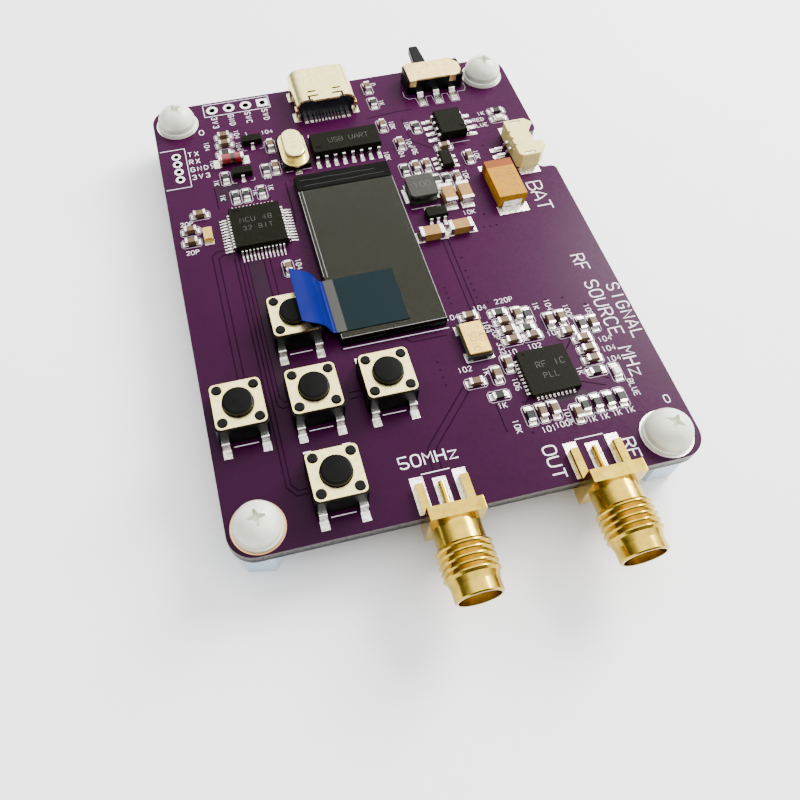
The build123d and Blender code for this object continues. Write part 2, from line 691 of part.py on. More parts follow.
# ---- edge-mounted coaxial sockets --------------------------------------------------------
def coax_body():
    """Square flange with four legs that grip the board, then a neck and a threaded barrel.
    Made about its own axis, with the board edge at zero and the barrel towards -Y."""
    start, end = -coax_thread_near, -coax_thread_far
    mouth = -coax_end
    ridges = int((end - start) / coax_thread_pitch)
    profile = [(0, -coax_flange_far), (coax_neck_radius, -coax_flange_far), (coax_neck_radius, start)]
    for ridge in range(ridges):
        foot = start + ridge * coax_thread_pitch
        profile.append((coax_thread_radius - coax_thread_depth, foot))
        profile.append((coax_thread_radius, foot + 0.4 * coax_thread_pitch))
        profile.append((coax_thread_radius, foot + 0.6 * coax_thread_pitch))
    profile.append((coax_thread_radius - coax_thread_depth, start + ridges * coax_thread_pitch))
    profile += [(coax_mouth_radius, end), (coax_mouth_radius, mouth - 0.15)]
    profile += [(coax_mouth_radius - 0.15, mouth), (0, mouth)]
    with BuildPart() as body:
        with BuildSketch(Plane.XY):
            with BuildLine():
                Polyline(*[(radius, -along) for radius, along in profile], close=True)
            make_face()
        revolve(axis=Axis.Y)
        with BuildSketch(Plane.XZ.offset(-coax_flange_near)):
            RectangleRounded(coax_flange, coax_flange, 0.12)
        extrude(amount=coax_flange_near - coax_flange_far)
        for low, high in ((0.02, coax_leg_top), (-board_thickness - coax_leg_top, -board_thickness - 0.02)):
            with BuildSketch(Plane.XY.offset(low - coax_axis)):
                for side in (-1, 1):
                    with Locations((side * coax_leg_x, (coax_leg_reach + coax_flange_near) / 2)):
                        Rectangle(coax_leg_width, coax_leg_reach - coax_flange_near)
            extrude(amount=high - low)
        with BuildSketch(Plane.XZ.offset(mouth)):
            Circle(coax_bore_radius)
        extrude(amount=-coax_bore_depth, mode=Mode.SUBTRACT)
        with BuildSketch(Plane.XZ.offset(mouth)):
            Circle(coax_insulator_radius)
        extrude(amount=-(mouth + 1), mode=Mode.SUBTRACT)
    return body


def coax_insulator():
    length = -coax_end - coax_bore_depth
    with BuildPart() as insulator:
        with BuildSketch(Plane.XZ.offset(-coax_flange_near)):
            Circle(coax_insulator_radius)
            Circle(coax_contact_radius, mode=Mode.SUBTRACT)
        extrude(amount=length + coax_flange_near)
    return insulator


def coax_pin():
    """The centre contact: a split socket in the mouth, a thin pin over the board behind."""
    length = -coax_end - coax_bore_depth
    with BuildPart() as pin:
        with BuildSketch(Plane.XZ.offset(-coax_flange_near)):
            Circle(coax_contact_radius)
        extrude(amount=length + coax_flange_near)
        with BuildSketch(Plane.XZ.offset(-coax_flange_near)):
            Circle(coax_pin_radius)
        extrude(amount=-(coax_pin_reach - coax_flange_near))
        with BuildSketch(Plane.XZ.offset(length)):
            Circle(0.47)
            Rectangle(2 * coax_contact_radius, 0.12)
            Rectangle(0.12, 2 * coax_contact_radius)
        extrude(amount=-3.0, mode=Mode.SUBTRACT)
    return pin


def coax_sockets():
    for name, x in (("rf_socket", rf_x), ("clock_socket", clock_x)):
        spot = [place(x, 0, coax_axis)]
        save(copies(coax_body().part, spot), f"{name}_body")
        save(copies(coax_insulator().part, spot), f"{name}_insulator")
        save(copies(coax_pin().part, spot), f"{name}_pin")


# ---- display ----------------------------------------------------------------------------
def display_frame():
    """The backlight tray, with a raised band at the rear over the driver chip."""
    with BuildPart() as frame:
        with BuildSketch(at(display_x, display_front + display_length / 2)):
            RectangleRounded(display_width, display_length, 0.3)
        extrude(amount=display_frame_top)
        band_y = display_front + display_length - display_ledge / 2
        with BuildSketch(at(display_x, band_y, display_frame_top)):
            RectangleRounded(display_width - 0.3, display_ledge - 0.2, 0.2)
        extrude(amount=display_band_top - display_frame_top)
    return frame


def display_glass():
    length = display_length - display_ledge - 0.15
    with BuildPart() as glass:
        with BuildSketch(at(display_x, display_front + 0.1 + length / 2, display_frame_top)):
            RectangleRounded(display_width - 0.2, length, 0.15)
        extrude(amount=display_top - display_frame_top)
        chamfer(glass.faces().sort_by(Axis.Z)[-1].edges(), 0.08)
    return glass


def display_film():
    """The clear protective film laid on the glass."""
    length = display_length - display_ledge - 0.7
    with BuildPart() as film:
        with BuildSketch(at(display_x, display_front + 0.35 + length / 2, display_top)):
            Rectangle(display_width - 0.5, length)
        extrude(amount=film_thickness)
    return film


def display_pull_tab():
    """The tab that peels the film: flat on the film, then curling up past the left edge."""
    level = display_top + film_thickness + tab_thickness / 2
    with BuildPart() as tab:
        with BuildSketch(facing_front(0, tab_front)):
            with BuildLine():
                Line((tab_right, level), (tab_bend, level))
                Spline(
                    (tab_bend, level), (16.5, 2.5), (15.8, 3.65), (tab_end, tab_end_level),
                    tangents=[(-1, 0.0), (-1, 0.72)],
                )
            trace(line_width=tab_thickness)
        extrude(amount=-tab_width)
    return tab


# ---- chips with bent leads --------------------------------------------------------------
def bent_lead(body_half, reach, exit_height, width, thickness):
    """One lead leaving the +Y side of a body and bent down on to the board."""
    level = thickness / 2
    step = (reach - body_half) * 0.35
    with BuildPart() as lead:
        with BuildSketch(Plane.YZ):
            with BuildLine():
                FilletPolyline(
                    (body_half, exit_height), (body_half + step * 0.7, exit_height),
                    (body_half + step * 1.2, level), (reach, level), radius=thickness * 0.55,
                )
            trace(line_width=thickness)
        extrude(amount=width / 2, both=True)
    return lead


def lead_rows(lead, pitch, counts):
    """Copies of a lead along the sides of a body; counts gives leads by side, turned 0 to 270."""
    spots = []
    for turned, count in counts.items():
        for step in range(count):
            along = (step - (count - 1) / 2) * pitch
            spots.append(Location((0, 0, 0), (0, 0, turned)) * Location((along, 0, 0)))
    return copies(lead.part, spots)


def chip_body(length, width, low, high, draft=8):
    """A moulded chip body: widest at the lead line, drawn in above and below."""
    middle = (low + high) / 2
    with BuildPart() as body:
        with BuildSketch(Plane.XY.offset(middle)):
            RectangleRounded(length, width, 0.08)
        extrude(amount=high - middle, taper=draft)
        with BuildSketch(Plane.XY.offset(middle)):
            RectangleRounded(length, width, 0.08)
        extrude(amount=low - middle, taper=draft)
    return body


def chip_with_leads(name, spot, body, lead, pitch, counts):
    save(copies(body.part, [spot]), f"{name}_body")
    save(copies(lead_rows(lead, pitch, counts).part, [spot]), f"{name}_leads")


def mcu_body():
    body = chip_body(7.0, 7.0, 0.1, 1.5)
    with BuildPart() as marked:
        add(body.part)
        with BuildSketch(Plane.XY.offset(1.5)):
            with Locations((-2.45, 2.6)):
                Circle(0.45)
        extrude(amount=-0.08, mode=Mode.SUBTRACT)
    return marked


def soic_body(length):
    """A small-outline body with a bevel along its pin-one side and a round dimple."""
    body = chip_body(length, 3.9, 0.12, 1.6)
    with BuildPart() as marked:
        add(body.part)
        with BuildSketch(Plane.XY.offset(1.6)):
            with Locations((-length / 2 + 0.8, -1.1)):
                Circle(0.35)
        extrude(amount=-0.08, mode=Mode.SUBTRACT)
    return marked


def leaded_chips():
    square_lead = bent_lead(3.5, 4.5, 0.8, 0.22, 0.12)
    soic_lead = bent_lead(1.95, 3.0, 0.86, 0.42, 0.2)
    spot = place(mcu_x, mcu_y)
    chip_with_leads("mcu", spot, mcu_body(), square_lead, 0.5, {0: 12, 90: 12, 180: 12, 270: 12})
    spot = place(bridge_x, bridge_y)
    chip_with_leads("usb_bridge", spot, soic_body(9.9), soic_lead, 1.27, {0: 8, 180: 8})
    spot = place(charger_x, charger_y, 0, 90)
    chip_with_leads("charger", spot, soic_body(4.9), soic_lead, 1.27, {0: 4, 180: 4})


def small_chips():
    """A six-lead chip, a five-lead regulator and two three-lead transistors."""
    wide, narrow = chip_body(2.9, 1.6, 0.1, 1.15), chip_body(2.9, 1.3, 0.1, 1.05)
    wide_lead = bent_lead(0.8, 1.4, 0.62, 0.4, 0.14)
    narrow_lead = bent_lead(0.65, 1.2, 0.58, 0.42, 0.12)
    six = lead_rows(wide_lead, 0.95, {0: 3, 180: 3})
    three = lead_rows(wide_lead, 0.95, {180: 3})
    pair = lead_rows(wide_lead, 1.9, {0: 2})
    single = lead_rows(narrow_lead, 1.9, {0: 2, 180: 1})
    with BuildPart() as bodies:
        with Locations(place(protector_x, protector_y, 0, 90), place(regulator_x, regulator_y)):
            add(wide.part)
        with Locations(*[place(x, y) for x, y in transistors]):
            add(narrow.part)
    with BuildPart() as leads:
        with Locations(place(protector_x, protector_y, 0, 90)):
            add(six.part)
        with Locations(place(regulator_x, regulator_y)):
            add(three.part)
            add(pair.part)
        with Locations(*[place(x, y) for x, y in transistors]):
            add(single.part)
    save(bodies, "small_chip_bodies")
    save(leads, "small_chip_leads")


def land_rows():
    """The flush metal lands around the leadless chip, showing at its sides."""
    with BuildPart() as lands:
        with BuildSketch(Plane.XY):
            for turned in (0, 90, 180, 270):
                for step in range(land_count):
                    along = (step - (land_count - 1) / 2) * land_pitch
                    spot = Location((0, 0, 0), (0, 0, turned)) * Location((along, 0, 0))
                    with Locations(spot * Location((0, (synthesizer_width - land_length) / 2 + 0.02, 0))):
                        Rectangle(land_width, land_length)
        extrude(amount=land_height)
    return lands


def synthesizer():
    lands = land_rows()
    with BuildPart() as body:
        with BuildSketch(Plane.XY.offset(0.02)):
            Rectangle(synthesizer_width, synthesizer_width)
        extrude(amount=synthesizer_height - 0.02)
        with BuildSketch(Plane.XY.offset(synthesizer_height)):
            with Locations((-2.3, 2.3)):
                Circle(0.3)
        extrude(amount=-0.06, mode=Mode.SUBTRACT)
        add(lands.part, mode=Mode.SUBTRACT)
    spot = [place(synthesizer_x, synthesizer_y)]
    save(copies(body.part, spot), "synthesizer_body")
    save(copies(lands.part, spot), "synthesizer_lands")


# ---- crystals and oscillator --------------------------------------------------------------
def can_crystal():
    """A drawn can on a flange, its black base and the two lead ends in front and behind."""
    spot = [place(can_crystal_x, can_crystal_y)]
    with BuildPart() as shell:
        with BuildSketch(Plane.XY.offset(0.8)):
            SlotOverall(7.1, 3.8, rotation=90)
        extrude(amount=0.22)
        with BuildSketch(Plane.XY.offset(1.0)):
            SlotOverall(5.6, 2.95, rotation=90)
        extrude(amount=1.3)
        fillet(shell.faces().sort_by(Axis.Z)[-1].edges(), 0.3)
    with BuildPart() as leads:
        with BuildSketch(Plane.XY):
            with Locations((0, -3.6), (0, 3.6)):
                Rectangle(0.6, 0.9)
        extrude(amount=0.35)
    save(copies(block(3.9, 6.2, 0.0, 0.8, 0.1).part, spot), "can_crystal_base")
    save(copies(shell.part, spot), "can_crystal_shell")
    save(copies(leads.part, spot), "can_crystal_leads")


def oscillator():
    spot = [place(oscillator_x, oscillator_y)]
    with BuildPart() as lid:
        with BuildSketch(Plane.XY.offset(0.8)):
            RectangleRounded(2.85, 4.6, 0.25)
        extrude(amount=0.4)
        chamfer(lid.faces().sort_by(Axis.Z)[-1].edges(), 0.08)
    save(copies(block(3.2, 5.0, 0.0, 0.8, 0.12).part, spot), "oscillator_base")
    save(copies(lid.part, spot), "oscillator_lid")


def watch_crystal():
    """A ceramic tub and its thin metal lid."""
    tub = block(1.2, 2.2, 0.02, 0.5, 0.1)
    lid = block(1.0, 2.0, 0.5, 0.7, 0.12)
    with BuildPart() as crystal:
        with Locations(place(4.65, 44.7)):
            add(tub.part)
            add(lid.part)
    return crystal


# ---- chip capacitors, resistors and other two-ended parts --------------------------------
def chip_middle(size, height):
    """The body between the two metal ends, a little lower than they are."""
    length, width, metal = size
    return block(length - 2 * metal, width - 0.04, 0.04, height - 0.02)


def chip_ends(size, height):
    length, width, metal = size
    with BuildPart() as ends:
        for side in (-1, 1):
            with BuildSketch(Plane.XY):
                with Locations((side * (length - metal) / 2, 0)):
                    RectangleRounded(metal, width, 0.06)
            extrude(amount=height)
    return ends


def diode_glass():
    """The glass sleeve of a small round diode, lying on the board."""
    with BuildPart() as sleeve:
        with BuildSketch(Plane.YZ.offset(-1.35)):
            with Locations((0, diode_radius)):
                Circle(diode_radius - 0.04)
        extrude(amount=2.7)
    return sleeve


def diode_ends():
    with BuildPart() as ends:
        with BuildSketch(Plane.YZ.offset(-1.75), Plane.YZ.offset(1.35)):
            with Locations((0, diode_radius)):
                Circle(diode_radius)
        extrude(amount=0.4)
    return ends


def chip_parts():
    ceramic = [place(x, y, 0, turned) for x, y, turned in small_capacitors]
    resistive = [place(x, y, 0, turned) for x, y, turned in resistors]
    large = [place(x, y, 0, turned) for x, y, turned in large_capacitors]
    lights = [place(x, y, 0, turned) for x, y, turned in indicator_leds]
    save(copies(chip_middle(small_chip, capacitor_height).part, ceramic), "ceramic_capacitors")
    save(copies(chip_middle(small_chip, resistor_height).part, resistive), "resistor_bodies")
    save(copies(chip_middle(large_chip, large_height).part, large), "large_capacitors")
    with BuildPart() as light:
        with BuildSketch(Plane.XY.offset(0.04)):
            Rectangle(1.0, 0.76)
        extrude(amount=led_height - 0.04, taper=4)
    save(copies(light.part, lights), "indicator_leds")
    save(copies(diode_glass().part, [place(diode_x, diode_y)]), "glass_diode")
    with BuildPart() as ends:
        with Locations(*ceramic):
            add(chip_ends(small_chip, capacitor_height).part)
        with Locations(*resistive):
            add(chip_ends(small_chip, resistor_height).part)
        with Locations(*large):
            add(chip_ends(large_chip, large_height).part)
        with Locations(*lights):
            add(chip_ends(small_chip, 0.3).part)
        with Locations(place(diode_x, diode_y)):
            add(diode_ends().part)
    save(ends, "chip_end_caps")


# ---- tantalum capacitor and power inductor -------------------------------------------------


def tantalum():
    """A moulded block with a metal strip folded under each end."""
    half = tantalum_length / 2
    body = chip_body(tantalum_width, tantalum_length, 0.12, tantalum_height, 5)
    with BuildPart() as strips:
        with BuildSketch(Plane.YZ):
            for side in (-1, 1):
                with BuildLine():
                    FilletPolyline(
                        (side * (half + 0.06), 1.05), (side * (half + 0.06), 0.06),
                        (side * (half - 1.2), 0.06), radius=0.1,
                    )
                trace(line_width=0.1)
        extrude(amount=1.3, both=True)
    save(copies(body.part, [place(tantalum_x, tantalum_y)]), "tantalum_capacitor")
    save(copies(strips.part, [place(tantalum_x, tantalum_y)]), "tantalum_terminals")


def inductor():
    """A ferrite drum: a waist between two plates, with a metal strip at the left and right."""
    with BuildPart() as core:
        for low, high in ((0.12, 0.55), (1.25, 1.8)):
            with BuildSketch(Plane.XY.offset(low)):
                RectangleRounded(4.0, 4.0, 0.7)
            extrude(amount=high - low)
        with BuildSketch(Plane.XY.offset(0.5)):
            Circle(1.75)
        extrude(amount=0.8)
        chamfer(core.faces().sort_by(Axis.Z)[-1].edges(), 0.1)
    with BuildPart() as strips:
        with BuildSketch(Plane.XZ):
            for side in (-1, 1):
                with BuildLine():
                    Polyline(
                        (side * 2.06, 0.5), (side * 2.06, 0.06), (side * 1.0, 0.06),
                    )
                trace(line_width=0.1)
        extrude(amount=1.55, both=True)
    save(copies(core.part, [place(inductor_x, inductor_y)]), "inductor_core")
    save(copies(strips.part, [place(inductor_x, inductor_y)]), "inductor_terminals")


# ---- make every piece ----------------------------------------------------------------------
save(circuit_board(), "circuit_board")
save(plated_holes(), "plated_holes")
screws_at = [place(x, y, eyelet_rim, 5 + 22 * index) for index, (x, y) in enumerate(screw_spots)]
standoffs_at = [place(x, y, -board_top, 18 + 6 * index) for index, (x, y) in enumerate(screw_spots)]
save(copies(corner_screw().part, screws_at), "corner_screws")
save(copies(corner_standoff().part, standoffs_at), "corner_standoffs")
push_buttons()
power_switch()
save(usb_shell(), "usb_shell")
save(usb_insulator(), "usb_insulator")
save(usb_contacts(), "usb_contacts")
save(battery_socket(), "battery_socket")
save(battery_socket_pins(), "battery_socket_pins")
save(battery_socket_nails(), "battery_socket_nails")
coax_sockets()
save(display_frame(), "display_frame")
save(display_glass(), "display_glass")
save(display_film(), "display_film")
save(display_pull_tab(), "display_pull_tab")
leaded_chips()
small_chips()
synthesizer()
can_crystal()
oscillator()
save(watch_crystal(), "watch_crystal")
chip_parts()
tantalum()
inductor()
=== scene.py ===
"""Looks for the bare-board RF signal source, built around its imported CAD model.

Places are in millimetres from the front left corner of the board, with heights from its top
face, and are turned into metres in the shared frame by at()."""

import math
import random

import bmesh
import bpy
from mathutils import Matrix, Vector


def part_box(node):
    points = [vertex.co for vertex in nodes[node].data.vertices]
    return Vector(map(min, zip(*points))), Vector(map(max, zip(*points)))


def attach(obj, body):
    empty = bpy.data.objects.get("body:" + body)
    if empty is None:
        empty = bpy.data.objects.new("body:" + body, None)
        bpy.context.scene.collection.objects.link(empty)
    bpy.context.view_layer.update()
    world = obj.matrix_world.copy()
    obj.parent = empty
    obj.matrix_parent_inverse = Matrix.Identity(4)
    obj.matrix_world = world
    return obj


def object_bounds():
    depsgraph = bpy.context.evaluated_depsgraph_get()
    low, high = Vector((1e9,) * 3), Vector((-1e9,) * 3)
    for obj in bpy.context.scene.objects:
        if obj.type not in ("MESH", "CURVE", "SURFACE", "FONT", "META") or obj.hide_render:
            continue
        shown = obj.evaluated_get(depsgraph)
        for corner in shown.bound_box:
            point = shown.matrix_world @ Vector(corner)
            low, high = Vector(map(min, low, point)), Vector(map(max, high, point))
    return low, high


MM = 0.001
PAD_HEIGHT, PAD_BEVEL = 0.03, 0.01
THICK_PAD = 0.04
PRINT_LIFT, MARK_HEIGHT = 0.004, 0.004
THIN_LINE, MEDIUM_LINE, LARGE_LINE = 0.09, 0.12, 0.2
BUTTON_CENTRES = ((4.1, 16.6), (12.75, 16.6), (21.4, 16.6), (12.75, 5.95), (12.75, 27.25))

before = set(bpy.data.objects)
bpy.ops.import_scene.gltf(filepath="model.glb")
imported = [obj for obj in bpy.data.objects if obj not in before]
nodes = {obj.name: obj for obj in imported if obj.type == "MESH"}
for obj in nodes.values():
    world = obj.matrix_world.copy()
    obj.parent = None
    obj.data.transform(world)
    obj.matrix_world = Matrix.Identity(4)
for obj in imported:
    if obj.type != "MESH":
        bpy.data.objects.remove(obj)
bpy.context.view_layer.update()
board_low, board_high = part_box("circuit_board")
random.seed(7)


def at(x, y, z=0.0):
    """A place on the board, in metres in the shared frame."""
    return Vector((board_low.x + x * MM, board_low.y + y * MM, board_high.z + z * MM))


def board_mm(point):
    """The reverse of at()."""
    return ((point - Vector((board_low.x, board_low.y, board_high.z))) / MM).to_tuple()


# ---- materials -------------------------------------------------------------------------------
def shade(color, factor):
    """A colour made lighter or darker, with full alpha."""
    return tuple(min(1.0, channel * factor) for channel in color[:3]) + (1.0,)


def material(name, color, rough, metal=0.0, vary=0.12, grain=900.0, bump=0.15, depth=3e-6,
             rough_vary=0.08, coat=0.0, spec=0.5, alpha=1.0, under=0.0, stretch=1.0):
    """A principled surface whose colour, roughness and height all carry fine noise."""
    made = bpy.data.materials.new(name)
    made.use_nodes = True
    tree = made.node_tree
    link = tree.links.new
    shader = tree.nodes["Principled BSDF"]
    place = tree.nodes.new("ShaderNodeTexCoord")
    cloud = tree.nodes.new("ShaderNodeTexNoise")
    cloud.inputs["Scale"].default_value = grain
    cloud.inputs["Detail"].default_value = 4.0
    link(place.outputs["Object"], cloud.inputs["Vector"])
    ramp = tree.nodes.new("ShaderNodeValToRGB")
    ramp.color_ramp.elements[0].position = 0.3
    ramp.color_ramp.elements[1].position = 0.7
    ramp.color_ramp.elements[0].color = shade(color, 1.0 - vary)
    ramp.color_ramp.elements[1].color = shade(color, 1.0 + vary)
    link(cloud.outputs["Fac"], ramp.inputs["Fac"])
    link(ramp.outputs["Color"], shader.inputs["Base Color"])
    fine = tree.nodes.new("ShaderNodeTexNoise")
    fine.inputs["Scale"].default_value = grain * 6
    fine.inputs["Detail"].default_value = 3.0
    drawn_out = tree.nodes.new("ShaderNodeMapping")
    drawn_out.inputs["Scale"].default_value = (1.0 / stretch, 1.0, 1.0)
    link(place.outputs["Object"], drawn_out.inputs["Vector"])
    link(drawn_out.outputs["Vector"], fine.inputs["Vector"])
    spread = tree.nodes.new("ShaderNodeMapRange")
    spread.inputs["To Min"].default_value = max(0.02, rough - rough_vary)
    spread.inputs["To Max"].default_value = min(1.0, rough + rough_vary)
    link(fine.outputs["Fac"], spread.inputs["Value"])
    link(spread.outputs["Result"], shader.inputs["Roughness"])
    relief = tree.nodes.new("ShaderNodeBump")
    relief.inputs["Strength"].default_value = bump
    relief.inputs["Distance"].default_value = depth
    link(fine.outputs["Fac"], relief.inputs["Height"])
    link(relief.outputs["Normal"], shader.inputs["Normal"])
    shader.inputs["Metallic"].default_value = metal
    shader.inputs["Specular IOR Level"].default_value = spec
    shader.inputs["Coat Weight"].default_value = coat
    shader.inputs["Coat Roughness"].default_value = 0.08
    shader.inputs["Alpha"].default_value = alpha
    if under:
        shader.inputs["Subsurface Weight"].default_value = under
        shader.inputs["Subsurface Radius"].default_value = (0.0012, 0.0012, 0.0011)
        shader.inputs["Subsurface Scale"].default_value = 1.0
    return made


def position_parts(tree):
    """Separate object-space x, y and z, in metres."""
    place = tree.nodes.new("ShaderNodeTexCoord")
    split = tree.nodes.new("ShaderNodeSeparateXYZ")
    tree.links.new(place.outputs["Object"], split.inputs["Vector"])
    return split.outputs


def between(tree, value, low, high):
    """0 at low and 1 at high, even between them. Low may be the larger one."""
    step = tree.nodes.new("ShaderNodeMapRange")
    step.inputs["From Min"].default_value = low
    step.inputs["From Max"].default_value = high
    tree.links.new(value, step.inputs["Value"])
    return step.outputs["Result"]


def diagonal(tree):
    """Object-space x + y, in metres."""
    total = tree.nodes.new("ShaderNodeMath")
    total.operation = "ADD"
    parts = position_parts(tree)
    tree.links.new(parts["X"], total.inputs[0])
    tree.links.new(parts["Y"], total.inputs[1])
    return total.outputs["Value"]


def lay_over(made, axis, low, high, color):
    """Lays another colour over a material, from low to high along an axis."""
    tree = made.node_tree
    mix_into(made, between(tree, position_parts(tree)[axis], low, high), color)


def mix_into(made, factor, color):
    """Lays another colour over a material's base colour by a factor."""
    tree = made.node_tree
    shader = tree.nodes["Principled BSDF"]
    before = shader.inputs["Base Color"].links[0].from_socket
    mix = tree.nodes.new("ShaderNodeMix")
    mix.data_type = "RGBA"
    tree.links.new(factor, mix.inputs["Factor"])
    tree.links.new(before, mix.inputs["A"])
    mix.inputs["B"].default_value = color[:3] + (1.0,)
    tree.links.new(mix.outputs["Result"], shader.inputs["Base Color"])


PURPLE = (0.028, 0.0012, 0.021)
mask = material("board_mask", PURPLE, 0.28, vary=0.07, grain=260.0, bump=0.05, depth=2e-6, spec=0.06)
silk = material("silk_ink", (0.80, 0.77, 0.80), 0.6, vary=0.08, grain=3000.0, bump=0.3, spec=0.2)
# faint print for part outlines, also used for the painted highlights along the display glass's edges
faint_silk_and_edge_highlight = material("thin_silk_ink_and_edge_highlight", (0.36, 0.33, 0.36), 0.6, vary=0.3, grain=2500.0, bump=0.3,
                      spec=0.2)
gap = material("etched_gap", (0.010, 0.0006, 0.008), 0.6, vary=0.2, grain=700.0, bump=0.05, spec=0.03)
bare = material("bare_laminate", (0.014, 0.003, 0.011), 0.36, vary=0.12, grain=500.0, bump=0.08,
                spec=0.08)
solder = material("solder", (0.70, 0.67, 0.60), 0.26, 1.0, vary=0.40, grain=1500.0, bump=0.9,
                  depth=5e-5)
plating = material("plated_copper", (0.84, 0.82, 0.76), 0.25, 1.0, vary=0.10, grain=1500.0, bump=0.4,
                   depth=6e-6)
tin = material("tinned_lead", (0.86, 0.82, 0.72), 0.22, 1.0, vary=0.35, grain=1300.0, bump=0.8,
               depth=3e-5)
nickel = material("nickel_plate", (0.93, 0.76, 0.32), 0.26, 1.0, vary=0.17, grain=2000.0, bump=0.4)
gold = material("gold_plate", (0.52, 0.35, 0.040), 0.19, 1.0, vary=0.22, grain=900.0, bump=0.3,
                depth=6e-6)
pale_gold = material("pale_gold_lid", (0.52, 0.34, 0.085), 0.36, 1.0, vary=0.18, grain=1500.0,
                     bump=0.5, depth=8e-6)
tan = material("tan_steel", (0.80, 0.59, 0.23), 0.42, 1.0, vary=0.17, grain=1800.0, bump=0.4)
black = material("black_moulding", (0.0022, 0.0022, 0.0022), 0.40, vary=0.3, grain=1600.0, bump=0.5,
                 depth=5e-6, spec=0.08)
epoxy = material("chip_epoxy", (0.0055, 0.0055, 0.0030), 0.45, vary=0.25, grain=2400.0, bump=0.6,
                 depth=6e-6, spec=0.03)
cap_black = material("button_black", (0.0016, 0.0016, 0.0012), 0.42, vary=0.35, grain=900.0, bump=0.5,
                     depth=6e-6, spec=0.06)
core = material("blue_black_moulding", (0.0045, 0.0065, 0.010), 0.30, vary=0.3, grain=1200.0, bump=0.5,
                depth=8e-6, spec=0.35)
nylon = material("milky_nylon", (0.69, 0.71, 0.60), 0.32, vary=0.13, grain=520.0, bump=0.2, depth=8e-6,
                 under=0.35)
blue_nylon = material("cool_nylon", (0.48, 0.62, 0.74), 0.34, vary=0.05, grain=300.0, bump=0.2,
                      under=0.4)
cream = material("cream_housing", (0.72, 0.60, 0.23), 0.45, vary=0.08, grain=700.0, bump=0.35,
                 spec=0.3, under=0.15)
ptfe = material("white_insulator", (0.80, 0.80, 0.78), 0.5, vary=0.04, grain=900.0, bump=0.2, under=0.2)
ceramic = material("fired_ceramic", (0.095, 0.056, 0.022), 0.40, vary=0.25, grain=1800.0, bump=0.3,
                   spec=0.25)
ceramic_light = material("pale_ceramic", (0.27, 0.145, 0.032), 0.42, vary=0.12, grain=1500.0, bump=0.3,
                         spec=0.2)
resistor = material("resistor_glaze", (0.012, 0.014, 0.010), 0.30, vary=0.35, grain=2200.0, bump=0.3,
                    spec=0.2)
ferrite = material("grey_ferrite", (0.018, 0.018, 0.013), 0.45, vary=0.20, grain=2600.0, bump=0.5,
                   depth=5e-6, spec=0.2)
amber = material("amber_moulding", (0.37, 0.170, 0.006), 0.42, vary=0.10, grain=1600.0, bump=0.5,
                 depth=5e-6, spec=0.08)
glass = material("dark_panel", (0.0035, 0.0040, 0.0014), 0.20, vary=0.10, grain=60.0, bump=0.0,
                 rough_vary=0.03, spec=0.22)
glass.node_tree.nodes["Principled BSDF"].inputs["Specular Tint"].default_value = (1.0, 0.97, 0.78, 1.0)
tape = material("black_tape", (0.0015, 0.0015, 0.0012), 0.14, vary=0.3, grain=190.0, bump=0.7,
                depth=2.2e-4, spec=0.04, stretch=7.0)
wrinkle = material("tape_wrinkle", (0.002, 0.002, 0.002), 0.10, vary=0.3, grain=900.0, bump=0.2,
                   spec=0.4)
red_glass = material("red_glass", (0.17, 0.005, 0.005), 0.12, vary=0.3, grain=1500.0, bump=0.1,
                     coat=0.3)
lens = material("led_lens", (0.80, 0.78, 0.70), 0.3, vary=0.08, grain=1500.0, bump=0.2, under=0.3)
film = material("clear_film", (0.02, 0.02, 0.018), 0.28, vary=0.04, grain=200.0, bump=0.0,
                rough_vary=0.02, alpha=0.06, spec=0.1)
tab = material("film_tab", (0.0, 0.0030, 0.085), 0.34, vary=0.10, grain=350.0, bump=0.1, spec=0.03)
ink = material("marking_ink", (0.16, 0.07, 0.015), 0.6, vary=0.2, grain=2500.0, bump=0.1)
faint_ink = material("faint_marking", (0.022, 0.022, 0.016), 0.6, vary=0.3, grain=2500.0, bump=0.1)


def laminate_edge(tree):
    """Grey laminate for the board's edges: darker below, with an uneven boundary."""
    parts = position_parts(tree)
    place = tree.nodes.new("ShaderNodeTexCoord")
    weave = tree.nodes.new("ShaderNodeTexNoise")
    weave.inputs["Scale"].default_value = 2200.0
    tree.links.new(place.outputs["Object"], weave.inputs["Vector"])
    level = tree.nodes.new("ShaderNodeMath")
    level.operation = "MULTIPLY_ADD"
    level.inputs[1].default_value = 0.5
    tree.links.new(weave.outputs["Fac"], level.inputs[0])
    tree.links.new(between(tree, parts["Z"], board_low.z, board_high.z), level.inputs[2])
    laminate = tree.nodes.new("ShaderNodeValToRGB")
    laminate.color_ramp.elements[0].position = 0.55
    laminate.color_ramp.elements[0].color = (0.020, 0.023, 0.018, 1.0)
    laminate.color_ramp.elements[1].position = 0.95
    laminate.color_ramp.elements[1].color = (0.16, 0.17, 0.13, 1.0)
    tree.links.new(level.outputs["Value"], laminate.inputs["Fac"])
    return laminate.outputs["Color"]


